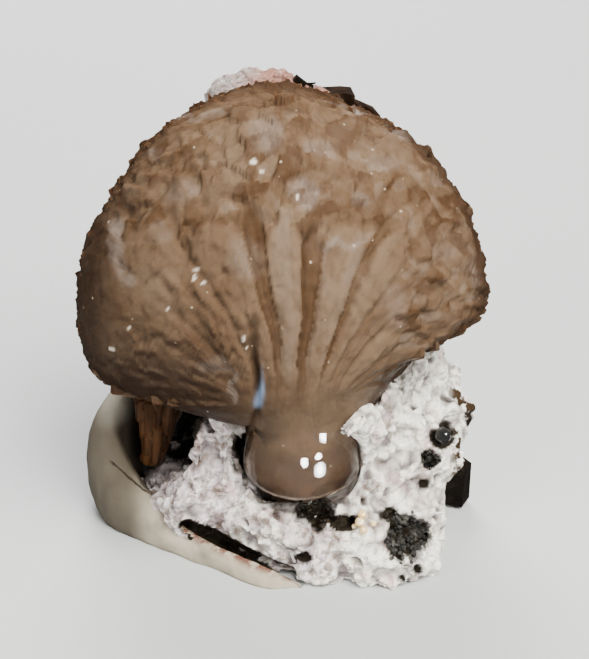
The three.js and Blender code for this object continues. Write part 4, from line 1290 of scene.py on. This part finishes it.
def goldenFinish():
    f = Finish("goldenBead")
    tone = f.noise(0.6, 2)
    base = f.mix(tone.between(0.4, 0.65), (0.72, 0.50, 0.22), (0.90, 0.78, 0.55))
    dents = f.bump(tone, 0.03, 0.3)
    return f.principled((0.3, (1.0, 0.7, 0.4), 0.6), Base_Color=base, Roughness=0.12, Normal=dents)


finishPiece(makeGoldenBeads(), goldenFinish(), "golden_drop", "golden_beads")


# floor, light and camera

floorShape = {"rows": 60, "columns": 12, "half": 700, "front": -60, "flat": 560, "flatShare": 0.6,
              "bend": 160, "below": 0.02}


def makeFloor():
    # a flat run that curves up into a wall by a quarter of an ellipse, carried sideways
    s = floorShape
    run, share = np.linspace(0, 1, s["rows"])[:, None], s["flatShare"]
    turn = (run - share) / (1 - share) * np.pi / 2
    back = s["front"] + s["flat"]
    y = np.where(run < share, s["front"] + run / share * s["flat"], back + s["bend"] * np.sin(turn))
    z = np.where(run < share, 0, 2 * s["bend"] * (1 - np.cos(turn)))
    grid = stacked(np.linspace(-s["half"], s["half"], s["columns"]), y, z - s["below"])
    row, column = np.meshgrid(np.arange(s["rows"] - 1), np.arange(s["columns"] - 1), indexing="ij")
    start = (row * s["columns"] + column).ravel()
    faces = stacked(start, start + 1, start + s["columns"] + 1, start + s["columns"]).tolist()
    floor = meshPiece("floorSheet", grid.reshape(-1, 3), faces)
    f = Finish("paleFloor")
    base = f.mix(f.noise(60, 2), (0.467, 0.486, 0.477), (0.497, 0.516, 0.507))
    floor.data.materials.append(f.principled(Base_Color=base, Roughness=0.85))
    floor.visible_glossy = False


def areaLamp(name, place, aim, size, power, color=(1, 1, 1), mirrored=False, beam=180, flat=1.0):
    data = bpy.data.lights.new(name, "AREA")
    data.shape = "ELLIPSE"
    data.size = size * mm
    data.size_y = size * flat * mm
    data.energy = power
    data.color = color
    data.spread = math.radians(beam)
    lamp = bpy.data.objects.new(name, data)
    lamp.location = Vector(place) * mm
    lamp.rotation_euler = (Vector(aim) - Vector(place)).to_track_quat("-Z", "Y").to_euler()
    lamp.visible_glossy = mirrored
    bpy.context.scene.collection.objects.link(lamp)
    return lamp


# large soft lamps: place, size, power, colour
softLamps = {
    "keyLamp": ((130, -160, 290), 280, 3.9, (1.0, 0.975, 0.93)),
    "frontFill": ((150, -320, 150), 120, 0.42, (0.98, 0.98, 1.0)),
    "leftFill": ((-220, -240, 150), 200, 0.9, (1.0, 0.98, 0.96)),
}
# small lamps that show as highlights on the shining pieces alone: place, size, height as a share of the size
beadLamps = [((21, -226, 49), 62, 0.9), ((166, -92, 135), 92, 0.64), ((128, -183, 66), 62, 0.62),
             ((131, -189, -3), 126, 0.62)]
lightSet = {"aim": (0, 0, 18), "beadAim": (2.4, -8, 10), "beadPower": 1.1e-5, "beadBeam": 26,
            "worldColor": (0.90, 0.93, 0.96, 1), "worldStrength": 0.11}


def makeLight():
    s = lightSet
    for name, (place, size, power, color) in softLamps.items():
        areaLamp(name, place, s["aim"], size, power, color)
    # one lamp lights the floor behind
    areaLamp("backLamp", (-60, 330, 300), (-80, 190, 0), 260, 4.3)
    shining = bpy.data.collections.new("shiningPieces")
    for name in ("clearDrop", "blackRight", "goldenBeads"):
        shining.objects.link(bpy.data.objects[name])
    for index, (place, size, flat) in enumerate(beadLamps):
        power = s["beadPower"] * size ** 2 * flat
        lamp = areaLamp(f"beadLamp{index}", place, s["beadAim"], size, power, mirrored=True,
                        beam=s["beadBeam"], flat=flat)
        lamp.visible_diffuse = False
        lamp.light_linking.receiver_collection = shining
    world = bpy.data.worlds.new("studio")
    world.use_nodes = True
    inputs = world.node_tree.nodes["Background"].inputs
    inputs[0].default_value, inputs[1].default_value = s["worldColor"], s["worldStrength"]
    bpy.context.scene.world = world


# distances in millimetres, the elevation in degrees
viewSet = {"elevation": 28.0, "distance": 150.0, "aim": (0.0, 0.0, 17.0), "aside": 0.79, "up": 0.53,
           "framePixels": 589, "pixelsPerMm": 12, "sensor": 36, "near": 5.0, "far": 5000.0}


def makeCamera():
    v = viewSet
    tilt = math.radians(v["elevation"])
    forward = Vector((0, math.cos(tilt), -math.sin(tilt)))
    upward = Vector((0, math.sin(tilt), math.cos(tilt)))
    aim = Vector(v["aim"]) + Vector((v["aside"], 0, 0)) + upward * v["up"]
    data = bpy.data.cameras.new("viewCamera")
    data.sensor_fit = "HORIZONTAL"
    data.sensor_width = v["sensor"]
    data.lens = v["sensor"] * v["distance"] / (v["framePixels"] / v["pixelsPerMm"])
    data.clip_start = v["near"] * mm
    data.clip_end = v["far"] * mm
    camera = bpy.data.objects.new("viewCamera", data)
    camera.location = (aim - forward * v["distance"]) * mm
    camera.rotation_euler = forward.to_track_quat("-Z", "Y").to_euler()
    bpy.context.scene.collection.objects.link(camera)
    bpy.context.scene.camera = camera


makeFloor()
makeLight()
makeCamera()
print("floor, light and camera set")
